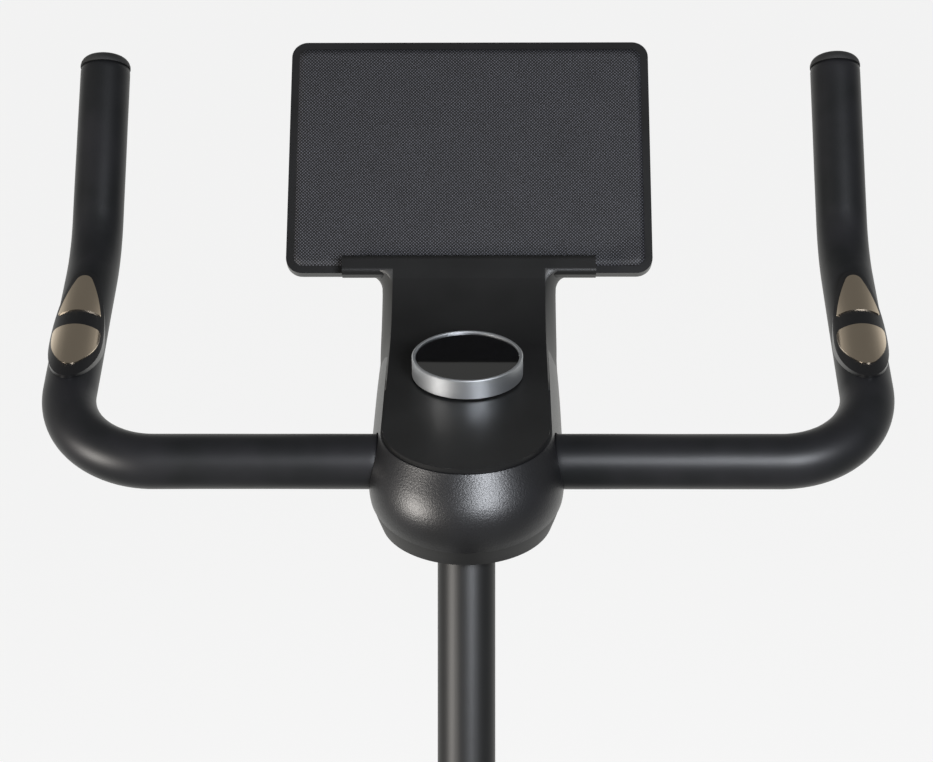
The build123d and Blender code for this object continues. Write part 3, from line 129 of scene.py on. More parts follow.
def surface(name, colour, roughness, **sockets):
    """A material with one Principled shader, in a hex colour or a linear one. Returns (material, tree, shader)."""
    made = bpy.data.materials.new(name)
    made.use_nodes = True
    tree = made.node_tree
    shader = tree.nodes["Principled BSDF"]
    shader.inputs["Base Color"].default_value = linear(colour) if isinstance(colour, str) else (*colour, 1.0)
    shader.inputs["Roughness"].default_value = roughness
    for socket, value in sockets.items():
        shader.inputs[socket.replace("_", " ")].default_value = value
    return made, tree, shader


def grain(tree, shader, size_mm, strength, depth_mm=0.05, detail=3.0):
    """Fine all-over bump of one size. Returns the node of object coordinates."""
    where = add(tree, "ShaderNodeTexCoord")
    specks = add(
        tree,
        "ShaderNodeTexNoise",
        {"Vector": (where, "Object")},
        {"Scale": 1 / (size_mm * MM), "Detail": detail, "Roughness": 0.55},
    )
    bump = add(tree, "ShaderNodeBump", {"Height": (specks, "Fac")}, {"Strength": strength, "Distance": depth_mm * MM})
    tree.links.new(bump.outputs["Normal"], shader.inputs["Normal"])
    return where


def mottled(tree, shader, where, size_mm, low, high):
    """Slow colour variation between two close hex colours."""
    cloud = add(
        tree, "ShaderNodeTexNoise", {"Vector": (where, "Object")}, {"Scale": 1 / (size_mm * MM), "Detail": 2.0}
    )
    shade = add(tree, "ShaderNodeValToRGB", {"Fac": (cloud, "Fac")}, stops=((0.35, low), (0.65, high)))
    tree.links.new(shade.outputs["Color"], shader.inputs["Base Color"])


def powder_coat():
    """Satin black powder coat on steel: sprayed, so it has a faint orange-peel ripple and an even sheen."""
    made, tree, shader = surface("powder_coated_steel", "#0f0f10", 0.46, Specular_IOR_Level=0.30)
    where = grain(tree, shader, 1.6, 0.18, 0.04)
    mottled(tree, shader, where, 60, "#121212", "#171717")
    return made


def integral_skin():
    """Integral-skin polyurethane foam: soft, dark grey-black, with a fine leathery grain and a broad highlight."""
    made, tree, shader = surface("integral_skin_foam", "#141416", 0.42, Specular_IOR_Level=0.28)
    where = grain(tree, shader, 0.9, 0.32, 0.06, 4.0)
    mottled(tree, shader, where, 35, "#111213", "#18181a")
    return made


def moulded_abs(name, colour, roughness, grain_mm, strength, low=None, high=None, specular=0.4, depth_mm=0.05):
    """Moulded ABS: the tool's spark-eroded grain breaks its highlights up. Low and high mottle the colour."""
    made, tree, shader = surface(name, colour, roughness, Specular_IOR_Level=specular)
    where = grain(tree, shader, grain_mm, strength, depth_mm)
    if low:
        mottled(tree, shader, where, 45, low, high)
    return made


def polished_plate(colour):
    """Polished stainless steel: nearly a mirror, with faint rubbed patches."""
    made, tree, shader = surface("polished_stainless", colour, 0.17, Metallic=1.0)
    where = add(tree, "ShaderNodeTexCoord")
    rubbed = add(tree, "ShaderNodeTexNoise", {"Vector": (where, "Object")}, {"Scale": 1 / (11.1 * MM), "Detail": 3.0})
    shade = add(tree, "ShaderNodeMapRange", {"Value": (rubbed, "Fac")}, {"To Min": 0.12, "To Max": 0.22})
    tree.links.new(shade.outputs["Result"], shader.inputs["Roughness"])
    return made


def turned_aluminium(colour):
    """Turned aluminium, bead blasted: a fine even grain under a soft bright sheen."""
    made, tree, shader = surface("turned_aluminium", colour, 0.42, Metallic=1.0)
    grain(tree, shader, 0.35, 0.15, 0.02)
    return made


def tinted_glass(colour):
    """Back-printed cover glass: black, smooth and very glossy."""
    made, tree, shader = surface("black_cover_glass", colour, 0.03, Specular_IOR_Level=0.5)
    grain(tree, shader, 60, 0.02, 0.02, 0.0)
    return made


def patterned_rubber():
    """Moulded rubber mat: rows of small raised lozenges in the bump, with a painted highlight on their tops and painted
    shade in the gaps between them.
    """
    made, tree, shader = surface("patterned_rubber_mat", "#1e1e20", 0.6, Specular_IOR_Level=0.3)
    place = add(tree, "ShaderNodeUVMap", uv_map="millimetres")
    pitch_mm = 1.75  # between rows; the real one is nearer 1.6 mm, a little too fine to show
    wave_turn = 20  # the wave texture turns by this many radians for each unit
    rows = []
    for angle in (45, -45):
        turned = add(tree, "ShaderNodeMapping", {"Vector": (place, "UV")}, {"Rotation": (0, 0, math.radians(angle))})
        waves = {"Scale": math.tau / wave_turn / pitch_mm, "Distortion": 0.25, "Detail": 1.0, "Detail Scale": 0.05}
        rows.append(add(tree, "ShaderNodeTexWave", {"Vector": (turned, "Vector")}, waves))
    lozenges = add(tree, "ShaderNodeMath", {0: (rows[0], "Fac"), 1: (rows[1], "Fac")}, operation="MULTIPLY")
    patches = add(tree, "ShaderNodeTexNoise", {"Vector": (place, "UV")}, {"Scale": 0.035, "Detail": 3.0})
    strength = add(tree, "ShaderNodeMapRange", {"Value": (patches, "Fac")}, {"To Min": 0.75, "To Max": 1.2})
    # painted light and shade: the colour below paints a highlight on each lozenge top and shade in the gaps, stronger
    # or weaker in random patches
    painted_relief_light = add(tree, "ShaderNodeMath", {0: (lozenges, "Value"), 1: (strength, "Result")}, operation="MULTIPLY")
    shade = add(tree, "ShaderNodeValToRGB", {"Fac": (painted_relief_light, "Value")}, stops=((0.1, "#080809"), (0.75, "#46464b")))
    tree.links.new(shade.outputs["Color"], shader.inputs["Base Color"])
    bump = add(tree, "ShaderNodeBump", {"Height": (lozenges, "Value")}, {"Strength": 0.5, "Distance": 0.2 * MM})
    tree.links.new(bump.outputs["Normal"], shader.inputs["Normal"])
    return made


def rubber(name="moulded_rubber", colour="#161616"):
    """Moulded rubber: dull, very slightly uneven."""
    made, tree, shader = surface(name, colour, 0.66)
    where = grain(tree, shader, 1.2, 0.2)
    mottled(tree, shader, where, 30, colour, "#1d1d1d")
    return made


def cast_iron():
    """Turned cast iron under clear lacquer: grey, with open grain."""
    made, tree, shader = surface("turned_cast_iron", "#6f6f70", 0.38, Metallic=0.9)
    where = grain(tree, shader, 0.8, 0.4)
    mottled(tree, shader, where, 12, "#5f5f60", "#7c7c7d")
    return made


def zinc_steel():
    """Zinc-plated steel: pale grey, slightly patchy."""
    made, tree, shader = surface("zinc_plated_steel", "#a6a6a3", 0.3, Metallic=1.0)
    where = grain(tree, shader, 0.6, 0.1)
    mottled(tree, shader, where, 8, "#9b9b98", "#b1b1ad")
    return made


def saddle_cover():
    """Polyurethane saddle cover: black, with a fine leather grain of closed cells."""
    made, tree, shader = surface("polyurethane_cover", "#181818", 0.46, Sheen_Weight=0.06, Sheen_Roughness=0.4)
    where = add(tree, "ShaderNodeTexCoord")
    cells = add(
        tree,
        "ShaderNodeTexVoronoi",
        {"Vector": (where, "Object")},
        {"Scale": 1 / (1.6 * MM)},
        feature="DISTANCE_TO_EDGE",
    )
    bump = add(tree, "ShaderNodeBump", {"Height": (cells, "Distance")}, {"Strength": 0.35, "Distance": 0.15 * MM})
    tree.links.new(bump.outputs["Normal"], shader.inputs["Normal"])
    mottled(tree, shader, where, 40, "#151515", "#1d1d1d")
    return made


def screen_board():
    """Bare screen module: dark, slightly green."""
    made, tree, shader = surface("screen_module", "#0c1210", 0.3)
    grain(tree, shader, 1.0, 0.1)
    return made


def round_edges(name, width_mm):
    """Breaks a CAD node's sharp edges so that they catch the light; its mesh stays as it is."""
    bevel = NODES[name].modifiers.new("broken_edges", "BEVEL")
    bevel.width = width_mm * MM
    bevel.segments = 3
    bevel.limit_method = "ANGLE"
    bevel.angle_limit = math.radians(40)
    bevel.harden_normals = True


def finish(names, material):
    """Gives CAD nodes a material."""
    for name in names:
        piece = NODES[name]
        piece.data.materials.clear()
        piece.data.materials.append(material)
        for poly in piece.data.polygons:
            poly.use_smooth = True
            poly.material_index = 0


# ---------------------------------------------------------------- meshes
def new_piece(name, work, material, body, *stands_for):
    """A mesh object made from a bmesh, riding on a CAD body in place of some CAD nodes."""
    mesh = bpy.data.meshes.new(name)
    work.normal_update()
    work.to_mesh(mesh)
    work.free()
    for poly in mesh.polygons:
        poly.use_smooth = True
    mesh.materials.append(material)
    made = bpy.data.objects.new(name, mesh)
    bpy.context.scene.collection.objects.link(made)
    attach(made, body)
    if stands_for:
        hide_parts(*stands_for)
    return made


def bent_path(corners, radii, step):
    """Points along straight runs joined by arcs: corners as vectors, one radius for each inner corner."""
    points = [corners[0].copy()]
    for before, corner, after, radius in zip(corners, corners[1:], corners[2:], radii):
        back, on = (before - corner).normalized(), (after - corner).normalized()
        half = back.angle(on) / 2
        reach = radius / math.tan(half)
        centre = corner + (back + on).normalized() * (radius / math.sin(half))
        start, end = corner + back * reach - centre, corner + on * reach - centre
        turn = start.angle(end)
        axis = start.cross(end).normalized()
        gap = (corner + back * reach) - points[-1]
        runs = max(1, round(gap.length / step))
        points += [points[-1] + gap * (i / runs) for i in range(1, runs)]
        count = max(4, round(radius * turn / step))
        points += [centre + Matrix.Rotation(turn * i / count, 3, axis) @ start for i in range(count + 1)]
    gap = corners[-1] - points[-1]
    runs = max(1, round(gap.length / step))
    points += [points[-1] + gap * (i / runs) for i in range(1, runs + 1)]
    return points


def ring_frames(points):
    """Each point with two unit vectors across the path, without twist."""
    frames = []
    side = None
    for i, point in enumerate(points):
        ahead = (points[min(i + 1, len(points) - 1)] - points[max(i - 1, 0)]).normalized()
        if side is None:
            side = ahead.orthogonal().normalized()
        side = (side - ahead * side.dot(ahead)).normalized()
        frames.append((point, side, ahead.cross(side)))
    return frames


def skin(rings):
    """A closed bmesh with quads between rings of equal length and a face over each end."""
    work = bmesh.new()
    rows = [[work.verts.new(point) for point in ring] for ring in rings]
    count = len(rows[0])
    for low, high in zip(rows, rows[1:]):
        for i in range(count):
            j = (i + 1) % count
            work.faces.new((low[i], low[j], high[j], high[i]))
    work.faces.new(tuple(reversed(rows[0])))
    work.faces.new(tuple(rows[-1]))
    return work


def smoothstep(low, high, value):
    """0 at low, 1 at high and smooth between."""
    t = min(1.0, max(0.0, (value - low) / (high - low)))
    return t * t * (3 - 2 * t)


def swell(piece, voxel, cap):
    """Cloth with air pressure, run for twenty frames from the resting shape and capped."""
    rest = piece.modifiers.new("even", "REMESH")
    rest.mode = "VOXEL"
    rest.voxel_size = voxel
    rest.use_smooth_shade = True
    apply_modifiers(piece)
    start = [v.co.copy() for v in piece.data.vertices]
    cloth = piece.modifiers.new("air", "CLOTH")
    cloth.settings.use_pressure = True
    cloth.settings.uniform_pressure_force = 4
    cloth.settings.effector_weights.gravity = 0
    scene = bpy.context.scene
    for frame_number in range(1, 21):
        scene.frame_set(frame_number)
    apply_modifiers(piece)
    for vertex, before in zip(piece.data.vertices, start):
        move = vertex.co - before
        if move.length > cap:
            vertex.co = before + move.normalized() * cap
    scene.frame_set(1)
    finer = piece.modifiers.new("finer", "SUBSURF")
    finer.levels = finer.render_levels = 1
    apply_modifiers(piece)
    for poly in piece.data.polygons:
        poly.use_smooth = True


def apply_modifiers(piece):
    """Replaces the mesh with what its modifiers make of it, and removes them."""
    seen = piece.evaluated_get(bpy.context.evaluated_depsgraph_get())
    mesh = bpy.data.meshes.new_from_object(seen)
    old = piece.data
    piece.modifiers.clear()
    piece.data = mesh
    bpy.data.meshes.remove(old)


# ---------------------------------------------------------------- sizes and colours
class BikeColours(bpy.types.PropertyGroup):
    """Colours of the bright parts"""

    ring: bpy.props.FloatVectorProperty(
        name="Dial ring", description="Colour of the dial's metal", default=linear("#c6c9cc")[:3], subtype="COLOR"
    )
    plates: bpy.props.FloatVectorProperty(
        name="Pulse plates", description="Colour of the plates' metal", default=linear("#e4d3bd")[:3], subtype="COLOR"
    )
    glass: bpy.props.FloatVectorProperty(
        name="Display glass", description="Colour of the print behind the glass", default=linear("#020202")[:3],
        subtype="COLOR",
    )


class BikeGrips(bpy.types.PropertyGroup):
    """Sizes of the handlebar's soft skin"""

    radius: bpy.props.FloatProperty(
        name="Grip radius", description="Outside radius of the soft skin", default=0.0185, unit="LENGTH"
    )


class BikeNeck(bpy.types.PropertyGroup):
    """Sizes of the neck's side walls"""

    half_width: bpy.props.FloatProperty(
        name="Neck half width", description="From the middle to a side wall's outside", default=0.0632, unit="LENGTH"
    )
    flare: bpy.props.FloatProperty(
        name="Flare", description="How far the walls spread under the tablet rest", default=0.0095, unit="LENGTH"
    )


class BikeMat(bpy.types.PropertyGroup):
    """Sizes of the tablet rest's mat"""

    width: bpy.props.FloatProperty(name="Mat width", description="Width across the rest", default=0.2522, unit="LENGTH")
    corner_lift: bpy.props.FloatProperty(
        name="Corner lift", description="How far the loose corner stands up", default=0.0016, unit="LENGTH"
    )


class BikeSaddle(bpy.types.PropertyGroup):
    """Sizes of the saddle's padding"""

    channel_depth: bpy.props.FloatProperty(
        name="Channel depth", description="Depth of the relief channel", default=0.007, unit="LENGTH"
    )
    swell: bpy.props.FloatProperty(
        name="Swell", description="The most that the padding moves when it is filled", default=0.004, unit="LENGTH"
    )


# ---------------------------------------------------------------- operators
class BIKE_OT_grips(bpy.types.Operator):
    """Soft skin on both horns of the handlebar"""

    bl_idname = "bike.grips"
    bl_label = "Grips"

    def execute(self, context):
        sizes = context.scene.bike_grips
        foam = integral_skin()
        tip_ahead = HORN_BEND_AT + (HORN_TOP - HORN_BEND_AT) * math.tan(HORN_SLOPE)
        around = 56
        for side, name in ((-1, "left_grip"), (1, "right_grip")):
            corners = [
                head(side * GRIP_START, 0, 0),
                head(side * BAR_HALF, 0, 0),
                head(side * BAR_HALF, HORN_BEND_AT, HORN_BEND_AT),
                head(side * BAR_HALF, tip_ahead, HORN_TOP),
            ]
            points = bent_path(corners, [radius * MM for radius in BEND_RADII], GRIP_STEP * MM)
            middle = (corners[1] + corners[3]) / 2
            rings = []
            for i, (point, out, other) in enumerate(ring_frames(points)):
                ring = []
                bend = sum(smoothstep(60, 20, abs(i * GRIP_STEP - at)) for at in BEND_MIDDLES)
                end_turn = 0.7 * MM * (1 - smoothstep(0, 1.2, min(i, len(points) - 1 - i)))
                for k in range(around):
                    turn = math.tau * k / around
                    away = out * math.cos(turn) + other * math.sin(turn)
                    # the skin wrinkles inside the bends, and is a little uneven all over
                    inner = max(0.0, away.dot((middle - point).normalized()))
                    wrinkle = noise.noise(Vector((i * 0.75, 3 * math.cos(turn), 3 * math.sin(turn) + side)))
                    soft = noise.noise(point * 18 + away * 0.6)
                    radius = sizes.radius - (0.35 * inner * bend * abs(wrinkle) + 0.18 * soft + 0.18) * MM
                    ring.append(point + away * (radius - end_turn))
                rings.append(ring)
            piece = new_piece(name + "_skin", skin(rings), foam, "frame", name)
        return {"FINISHED"}


class BIKE_OT_neck(bpy.types.Operator):
    """Side walls of the neck, which spread into the tablet rest"""

    bl_idname = "bike.neck"
    bl_label = "Neck side walls"

    def execute(self, context):
        sizes = context.scene.bike_neck
        flare, half_width = sizes.flare / MM, sizes.half_width / MM
        turn = math.radians(REST_TILT - FACE_TILT)
        # place along the face, out of it, and how far the surface has turned up
        stations = [(along, 0.0, 0.0) for along in (112, 124, 136, 148, 161, FACE_FLAT)]
        arc_steps = 14
        for i in range(1, arc_steps + 1):
            angle = turn * i / arc_steps
            stations.append((FACE_FLAT + NECK_BEND * math.sin(angle), NECK_BEND * (1 - math.cos(angle)), angle))
        along, out, _ = stations[-1]
        for run in (1.3, 2.6, 3.9, 5.2, 6.5, 7.8, 9.1):
            stations.append((along + run * math.cos(turn), out + run * math.sin(turn), turn))
        travelled = [0.0]
        for here, there in zip(stations, stations[1:]):
            travelled.append(travelled[-1] + math.hypot(there[0] - here[0], there[1] - here[1]))
        at_ledge = travelled[-4]
        wall = moulded_abs("grained_wall_abs", "#222221", 0.5, 0.7, 0.4, "#1f1f1e", "#262625", 0.5)
        for side, name in ((-1, "left_neck_wall"), (1, "right_neck_wall")):
            rings = []
            for (along, out, angle), length in zip(stations, travelled):
                half = WALL_START + (half_width - WALL_START) * smoothstep(0, 90, length)
                back = FACE_ALONG * math.sin(angle) - FACE_NORMAL * math.cos(angle)
                outside = (
                    (55.0, 0.35),
                    (55.8, 1.3),
                    (half - 2.4, 11),
                    (half - 0.5, 17),
                    (half, 21),
                    (half - 0.6, 24),
                    (half - 3, WALL_BEHIND),
                )
                section = [(WALL_INSIDE, 0.2), (54.8, 0.1)]
                for x, deep in outside:
                    # a quarter circle, which ends higher up the further back it is
                    t = min(1.0, max(0.0, 1 - (at_ledge - length + 0.2 * deep) / (1.25 * flare)))
                    section.append((x + flare * (1 - math.sqrt(1 - t * t)), deep))
                section += [(WALL_INSIDE, WALL_BEHIND), (WALL_INSIDE, 12)]
                ring = [on_face(side * x, along, out) + back * (deep * MM) for x, deep in section]
                rings.append(ring if side < 0 else ring[::-1])
            piece = new_piece(name, skin(rings), wall, "frame")
        return {"FINISHED"}


class BIKE_OT_mat(bpy.types.Operator):
    """Patterned rubber mat in the tablet rest, with one lifted corner"""

    bl_idname = "bike.mat"
    bl_label = "Tablet mat"

    def execute(self, context):
        sizes = context.scene.bike_mat
        half, low, high = sizes.width / MM / 2, 7.9, 178.1
        middle_y, half_y = (low + high) / 2, (high - low) / 2
        corner, lip = 7.0, 2.3
        columns, rows = 130, 88
        work = bmesh.new()
        layer = work.loops.layers.uv.new("millimetres")
        places = {}

        def rounded(x, y):
            """Pulls a point of the rectangle in to its rounded corners."""
            dx, dy = abs(x) - (half - corner), abs(y - middle_y) - (half_y - corner)
            if dx > 0 and dy > 0:
                scale = max(dx, dy) / math.hypot(dx, dy)
                x = math.copysign(half - corner + dx * scale, x)
                y = middle_y + math.copysign(half_y - corner + dy * scale, y - middle_y)
            return x, y

        def lift(x, y):
            """The lower right corner has come unstuck a little."""
            near = math.hypot(max(0.0, half - x), max(0.0, y - low))
            ripple = 0.06 * noise.noise(Vector((x, y, 0)) * 0.03)
            return sizes.corner_lift / MM * (1 - smoothstep(0, 26, near)) + ripple

        for side, out in (("top", 0.5), ("under", -1.5)):
            for j in range(rows + 1):
                for i in range(columns + 1):
                    x, y = rounded(half * (2 * i / columns - 1), low + (high - low) * j / rows)
                    rise = lift(x, y)
                    if side == "under":
                        rise = max(0.0, rise)
                    if min(i, j, columns - i, rows - j) == 0:  # a thin lip covers the joint
                        x *= 1 + lip / half
                        y += (y - middle_y) * lip / half_y
                        rise += 1.53 if side == "under" else -0.35
                    places[side, i, j] = work.verts.new(on_rest(x, y, out + rise)), (x, y)

        def face(keys):
            """A face with its place on the mat, in mm, as its UV."""
            made = work.faces.new([places[key][0] for key in keys])
            for loop, key in zip(made.loops, keys):
                loop[layer].uv = places[key][1]

        for j in range(rows):
            for i in range(columns):
                square = ((i, j), (i + 1, j), (i + 1, j + 1), (i, j + 1))
                face([("top", *cell) for cell in square])
                face([("under", *cell) for cell in reversed(square)])
        edge = [(i, 0) for i in range(columns)] + [(columns, j) for j in range(rows)]
        edge += [(i, rows) for i in range(columns, 0, -1)] + [(0, j) for j in range(rows, 0, -1)]
        for here, there in zip(edge, edge[1:] + edge[:1]):
            face([("under", *here), ("under", *there), ("top", *there), ("top", *here)])
        piece = new_piece("tablet_mat", work, patterned_rubber(), "frame", "rest_mat")
        return {"FINISHED"}


class BIKE_OT_saddle(bpy.types.Operator):
    """Padded saddle with a relief channel, swelled by a short cloth simulation"""

    bl_idname = "bike.saddle"
    bl_label = "Saddle"

    def execute(self, context):
        sizes = context.scene.bike_saddle
        low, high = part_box("saddle_pad")
        rear, base = low[1], low[2]
        length = high[1] - low[1]
        # along the saddle: place from the rear (0..1), half width and height in mm
        stations = (
            (0.0, 40, 26), (0.02, 62, 38), (0.07, 88, 48), (0.15, 102, 54), (0.25, 107, 57),
            (0.36, 101, 56), (0.48, 82, 52), (0.60, 58, 48), (0.72, 42, 45), (0.84, 33, 42),
            (0.93, 26, 37), (0.98, 18, 30), (1.0, 9, 22),
        )
        rows, around = 64, 72
        squareness = 0.62  # 1 is an ellipse
        rings = []
        for row in range(rows + 1):
            t = 0.5 - 0.5 * math.cos(math.pi * row / rows)
            for (t0, w0, h0), (t1, w1, h1) in zip(stations, stations[1:]):
                if t <= t1 or t1 == 1.0:
                    f = smoothstep(t0, t1, t) * 0.35 + 0.65 * (t - t0) / (t1 - t0)
                    half, height = w0 + (w1 - w0) * f, h0 + (h1 - h0) * f
                    break
            y = rear + 0.006 + (length - 0.012) * t
            channel = sizes.channel_depth / MM * smoothstep(0.08, 0.2, t) * smoothstep(0.93, 0.7, t)
            ring = []
            for k in range(around):
                turn = math.tau * k / around
                c, s = math.cos(turn), math.sin(turn)
                x = half * math.copysign(abs(c) ** squareness, c)
                z = 0.5 + 0.5 * math.copysign(abs(s) ** squareness, s)
                dip = channel * max(0.0, s) * math.exp(-((x / (5 + half * 0.07)) ** 2))
                ring.append(Vector((x * MM, y, base + 0.001 + (z * height - dip) * MM)))
            rings.append(ring)
        piece = new_piece("saddle_cushion", skin(rings), saddle_cover(), "saddle", "saddle_pad")
        swell(piece, 4.5 * MM, sizes.swell)
        return {"FINISHED"}


class BIKE_OT_finishes(bpy.types.Operator):
    """Gives every carried-over piece its material"""

    bl_idname = "bike.finishes"
    bl_label = "Finishes"

    def execute(self, context):
        colours = context.scene.bike_colours
        painted = (
            "main_frame", "front_stabilizer", "rear_stabilizer", "handlebar_post", "bar_clamp", "idler_arm",
            "brake_arm", "handlebar_tube", "left_crank_arm", "right_crank_arm", "seat_post", "seat_slider",
        )
        plated = (
            "bar_clamp_bolts", "post_bolts", "stabilizer_bolts", "flywheel_axle", "crank_axle",
            "pedal_spindles", "crank_bearings", "brake_magnets",
        )
        soft = (
            "post_boot", "front_caps", "left_levelling_cap", "right_levelling_cap", "left_pedal_strap",
            "right_pedal_strap",
        )
        nylon = (
            "drive_pulley", "idler_pulley", "seat_bush", "brake_motor", "left_pedal", "right_pedal", "saddle_pan",
            "seat_height_knob", "slider_knob", "crank_caps",
        )
        face = moulded_abs("satin_face_abs", "#161616", 0.38, 0.5, 0.12, "#141414", "#181818", 0.22)
        # the bulb's grain is about half a millimetre, and is drawn coarser so that it shows
        bulb = moulded_abs("grained_shell_abs", "#111112", 0.38, 1.3, 1.0, "#101011", "#151517", 0.5, 0.16)
        skirt = moulded_abs("matt_skirt_abs", "#161616", 0.55, 0.6, 0.3, "#141414", "#181818", 0.4)
        rest = moulded_abs("rest_abs", "#151516", 0.36, 0.5, 0.2, "#131313", "#171718", 0.4)
        discs = moulded_abs("anthracite_abs", "#323335", 0.3, 0.8, 0.2, "#2e2f31", "#363739")
        for names, material in (
            (painted, powder_coat()),
            (("left_grip", "right_grip"), integral_skin()),
            (("bar_end_caps", "spine_plugs"), rubber("soft_vinyl_cap", "#101010")),
            (("sensor_bezels",), moulded_abs("bezel_abs", "#101011", 0.34, 0.6, 0.15)),
            (("pulse_plates",), polished_plate(colours.plates)),
            (("console_face",), face),
            (("console_bulb",), bulb),
            (("console_skirt",), skirt),
            (("rest_frame",), rest),
            (("rest_mat",), rubber("mat_rubber", "#2a2a2d")),
            (("dial_ring",), turned_aluminium(colours.ring)),
            (("dial_hub",), moulded_abs("hub_abs", "#131313", 0.4, 0.5, 0.2)),
            (("display_glass",), tinted_glass(colours.glass)),
            (("display_board",), screen_board()),
            (plated, zinc_steel()),
            (
                ("left_shroud", "right_shroud", "power_inlet"),
                moulded_abs("shroud_abs", "#1c1c1d", 0.42, 0.9, 0.35, "#191919", "#202021"),
            ),
            (("crank_discs",), discs),
            (soft, rubber()),
            (("left_transport_wheel", "right_transport_wheel"), rubber("wheel_rubber", "#2a2a2a")),
            (("flywheel",), cast_iron()),
            (nylon, moulded_abs("glass_filled_nylon", "#1b1b1b", 0.5, 0.8, 0.4)),
            (("belt",), rubber("belt_rubber", "#101010")),
            (("saddle_pad",), saddle_cover()),
        ):
            finish(names, material)
        round_edges("sensor_bezels", 0.7)
        round_edges("dial_ring", 0.45)
        return {"FINISHED"}


# ---------------------------------------------------------------- stage
SOFTBOX_SIZE = 0.8
SOFTBOXES = (  # name, place, power and colour
    ("left_softbox", (-1.80, -0.95, 0.98), 62, "#fffaf4"),
    ("right_softbox", (0.78, -1.68, 1.72), 78, "#f4f8ff"),
)
AIM_UP = 53.2  # mm above the handlebar, where the camera looks
CAMERA_AWAY, CAMERA_ASIDE = 1.456, 0.018


def studio_world():
    """A dim room with a bright sweep behind the bike; plain pale where it is seen directly."""
    world = bpy.data.worlds.new("studio")
    world.use_nodes = True
    tree = world.node_tree
    background = tree.nodes["Background"]
    background.inputs["Color"].default_value = linear("#f8f8f5")
    where = add(tree, "ShaderNodeTexCoord")
    apart = add(tree, "ShaderNodeSeparateXYZ", {"Vector": (where, "Generated")})
    behind = add(
        tree,
        "ShaderNodeMapRange",
        {"Value": (apart, "Y")},
        {"From Min": -0.1, "From Max": 0.9, "To Min": 0.0, "To Max": 0.9},
        interpolation_type="SMOOTHSTEP",
    )
    low = add(
        tree,
        "ShaderNodeMapRange",
        {"Value": (apart, "Z")},
        {"From Min": 0.15, "From Max": 0.95, "To Min": 1.0, "To Max": 0.12},
        interpolation_type="SMOOTHSTEP",
    )
    glow = add(tree, "ShaderNodeMath", {0: (behind, "Result"), 1: (low, "Result")}, operation="MULTIPLY")
    below = add(
        tree,
        "ShaderNodeMapRange",
        {"Value": (apart, "Z")},
        {"From Min": 0.0, "From Max": -0.7, "To Min": 0.13, "To Max": 0.42},
        interpolation_type="SMOOTHSTEP",
    )
    strength = add(tree, "ShaderNodeMath", {0: (glow, "Value"), 1: (below, "Result")}, operation="ADD")
    tree.links.new(strength.outputs["Value"], background.inputs["Strength"])
    plain = add(tree, "ShaderNodeBackground", None, {"Color": linear("#f3f3f3"), "Strength": 1.0})
    seen = add(tree, "ShaderNodeLightPath")
    both = add(tree, "ShaderNodeMixShader", {0: (seen, "Is Camera Ray"), 1: (background, 0), 2: (plain, 0)})
    tree.links.new(both.outputs[0], tree.nodes["World Output"].inputs["Surface"])
    return world


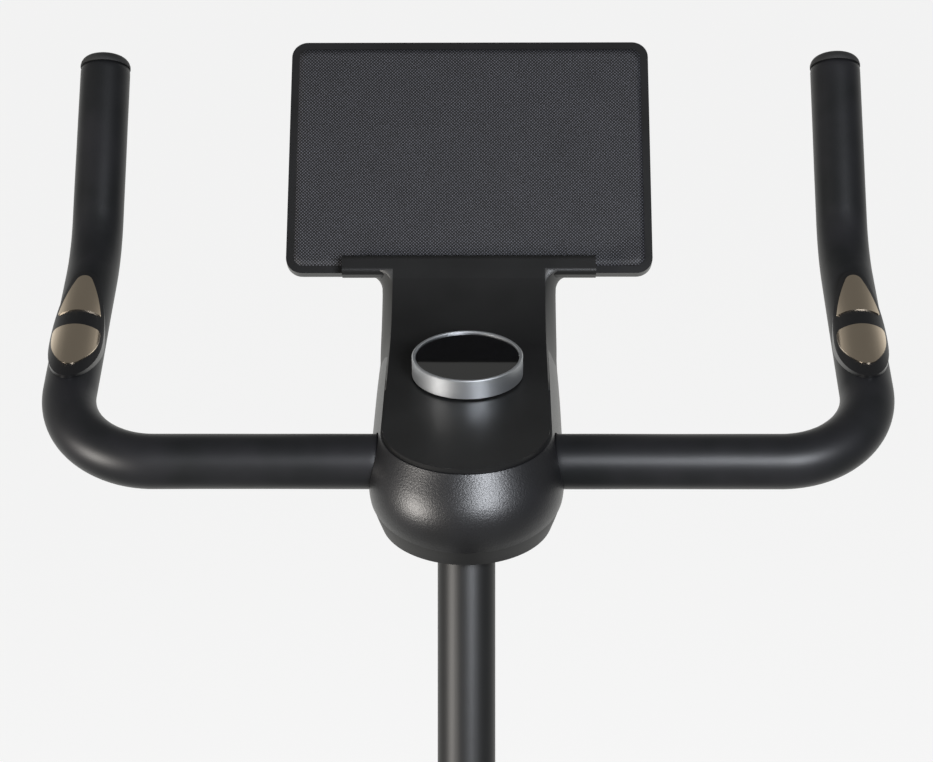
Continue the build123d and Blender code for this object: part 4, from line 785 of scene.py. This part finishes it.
class BIKE_OT_stage(bpy.types.Operator):
    """Floor, light and camera"""

    bl_idname = "bike.stage"
    bl_label = "Stage"

    def execute(self, context):
        scene = context.scene
        work = bmesh.new()
        bmesh.ops.create_grid(work, x_segments=8, y_segments=8, size=60)
        mesh = bpy.data.meshes.new("floor")
        work.to_mesh(mesh)
        work.free()
        floor = bpy.data.objects.new("floor", mesh)
        scene.collection.objects.link(floor)
        # the floor glows a little, so that it stays even, and is left out of reflections like a far sweep
        paper, _, shader = surface("pale_floor", "#6c6c6c", 0.9, Emission_Strength=0.855, Specular_IOR_Level=0.0)
        shader.inputs["Emission Color"].default_value = linear("#ffffff")
        mesh.materials.append(paper)
        floor.visible_glossy = False
        floor.visible_diffuse = False
        scene.world = studio_world()
        scene.view_settings.view_transform = "Standard"
        for name, place, power, colour in SOFTBOXES:
            data = bpy.data.lights.new(name, "AREA")
            data.shape = "RECTANGLE"
            data.size = data.size_y = SOFTBOX_SIZE
            data.energy = power
            data.color = linear(colour)[:3]
            lamp = bpy.data.objects.new(name, data)
            lamp.location = place
            lamp.rotation_euler = (BAR - Vector(place)).to_track_quat("-Z", "Y").to_euler()
            scene.collection.objects.link(lamp)
        camera_data = bpy.data.cameras.new("camera")
        camera_data.lens = 85
        camera_data.sensor_width = 36
        camera_data.clip_end = 200
        camera = bpy.data.objects.new("camera", camera_data)
        scene.collection.objects.link(camera)
        target = head(0, 0, AIM_UP)
        place = target - AHEAD * CAMERA_AWAY + ACROSS * CAMERA_ASIDE
        back = (place - target).normalized()
        right = UP.cross(back)
        camera.matrix_world = Matrix.Translation(place) @ Matrix((right, UP, back)).transposed().to_4x4()
        scene.camera = camera
        return {"FINISHED"}


class BIKE_PT_panel(bpy.types.Panel):
    """Lists the bike's operators in the sidebar"""

    bl_idname = "BIKE_PT_panel"
    bl_label = "Exercise bike"
    bl_space_type = "VIEW_3D"
    bl_region_type = "UI"
    bl_category = "Exercise bike"

    def draw(self, context):
        for operator in OPERATORS:
            self.layout.operator(operator.bl_idname)
        for group, holder in GROUPS:
            for name in group.__annotations__:
                self.layout.prop(getattr(context.scene, holder), name)


GROUPS = (
    (BikeColours, "bike_colours"),
    (BikeGrips, "bike_grips"),
    (BikeNeck, "bike_neck"),
    (BikeMat, "bike_mat"),
    (BikeSaddle, "bike_saddle"),
)
OPERATORS = (BIKE_OT_finishes, BIKE_OT_grips, BIKE_OT_neck, BIKE_OT_mat, BIKE_OT_saddle, BIKE_OT_stage)


def register():
    """Registers the settings, the operators and the panel."""
    for group, name in GROUPS:
        bpy.utils.register_class(group)
        setattr(bpy.types.Scene, name, bpy.props.PointerProperty(type=group))
    for cls in OPERATORS + (BIKE_PT_panel,):
        bpy.utils.register_class(cls)


def unregister():
    """Takes them away again."""
    for cls in reversed(OPERATORS + (BIKE_PT_panel,)):
        bpy.utils.unregister_class(cls)
    for group, name in reversed(GROUPS):
        delattr(bpy.types.Scene, name)
        bpy.utils.unregister_class(group)


def main():
    """Makes everything in order."""
    register()
    bpy.ops.bike.finishes()
    bpy.ops.bike.grips()
    bpy.ops.bike.neck()
    bpy.ops.bike.mat()
    bpy.ops.bike.saddle()
    bpy.ops.bike.stage()


if __name__ == "__main__":
    main()
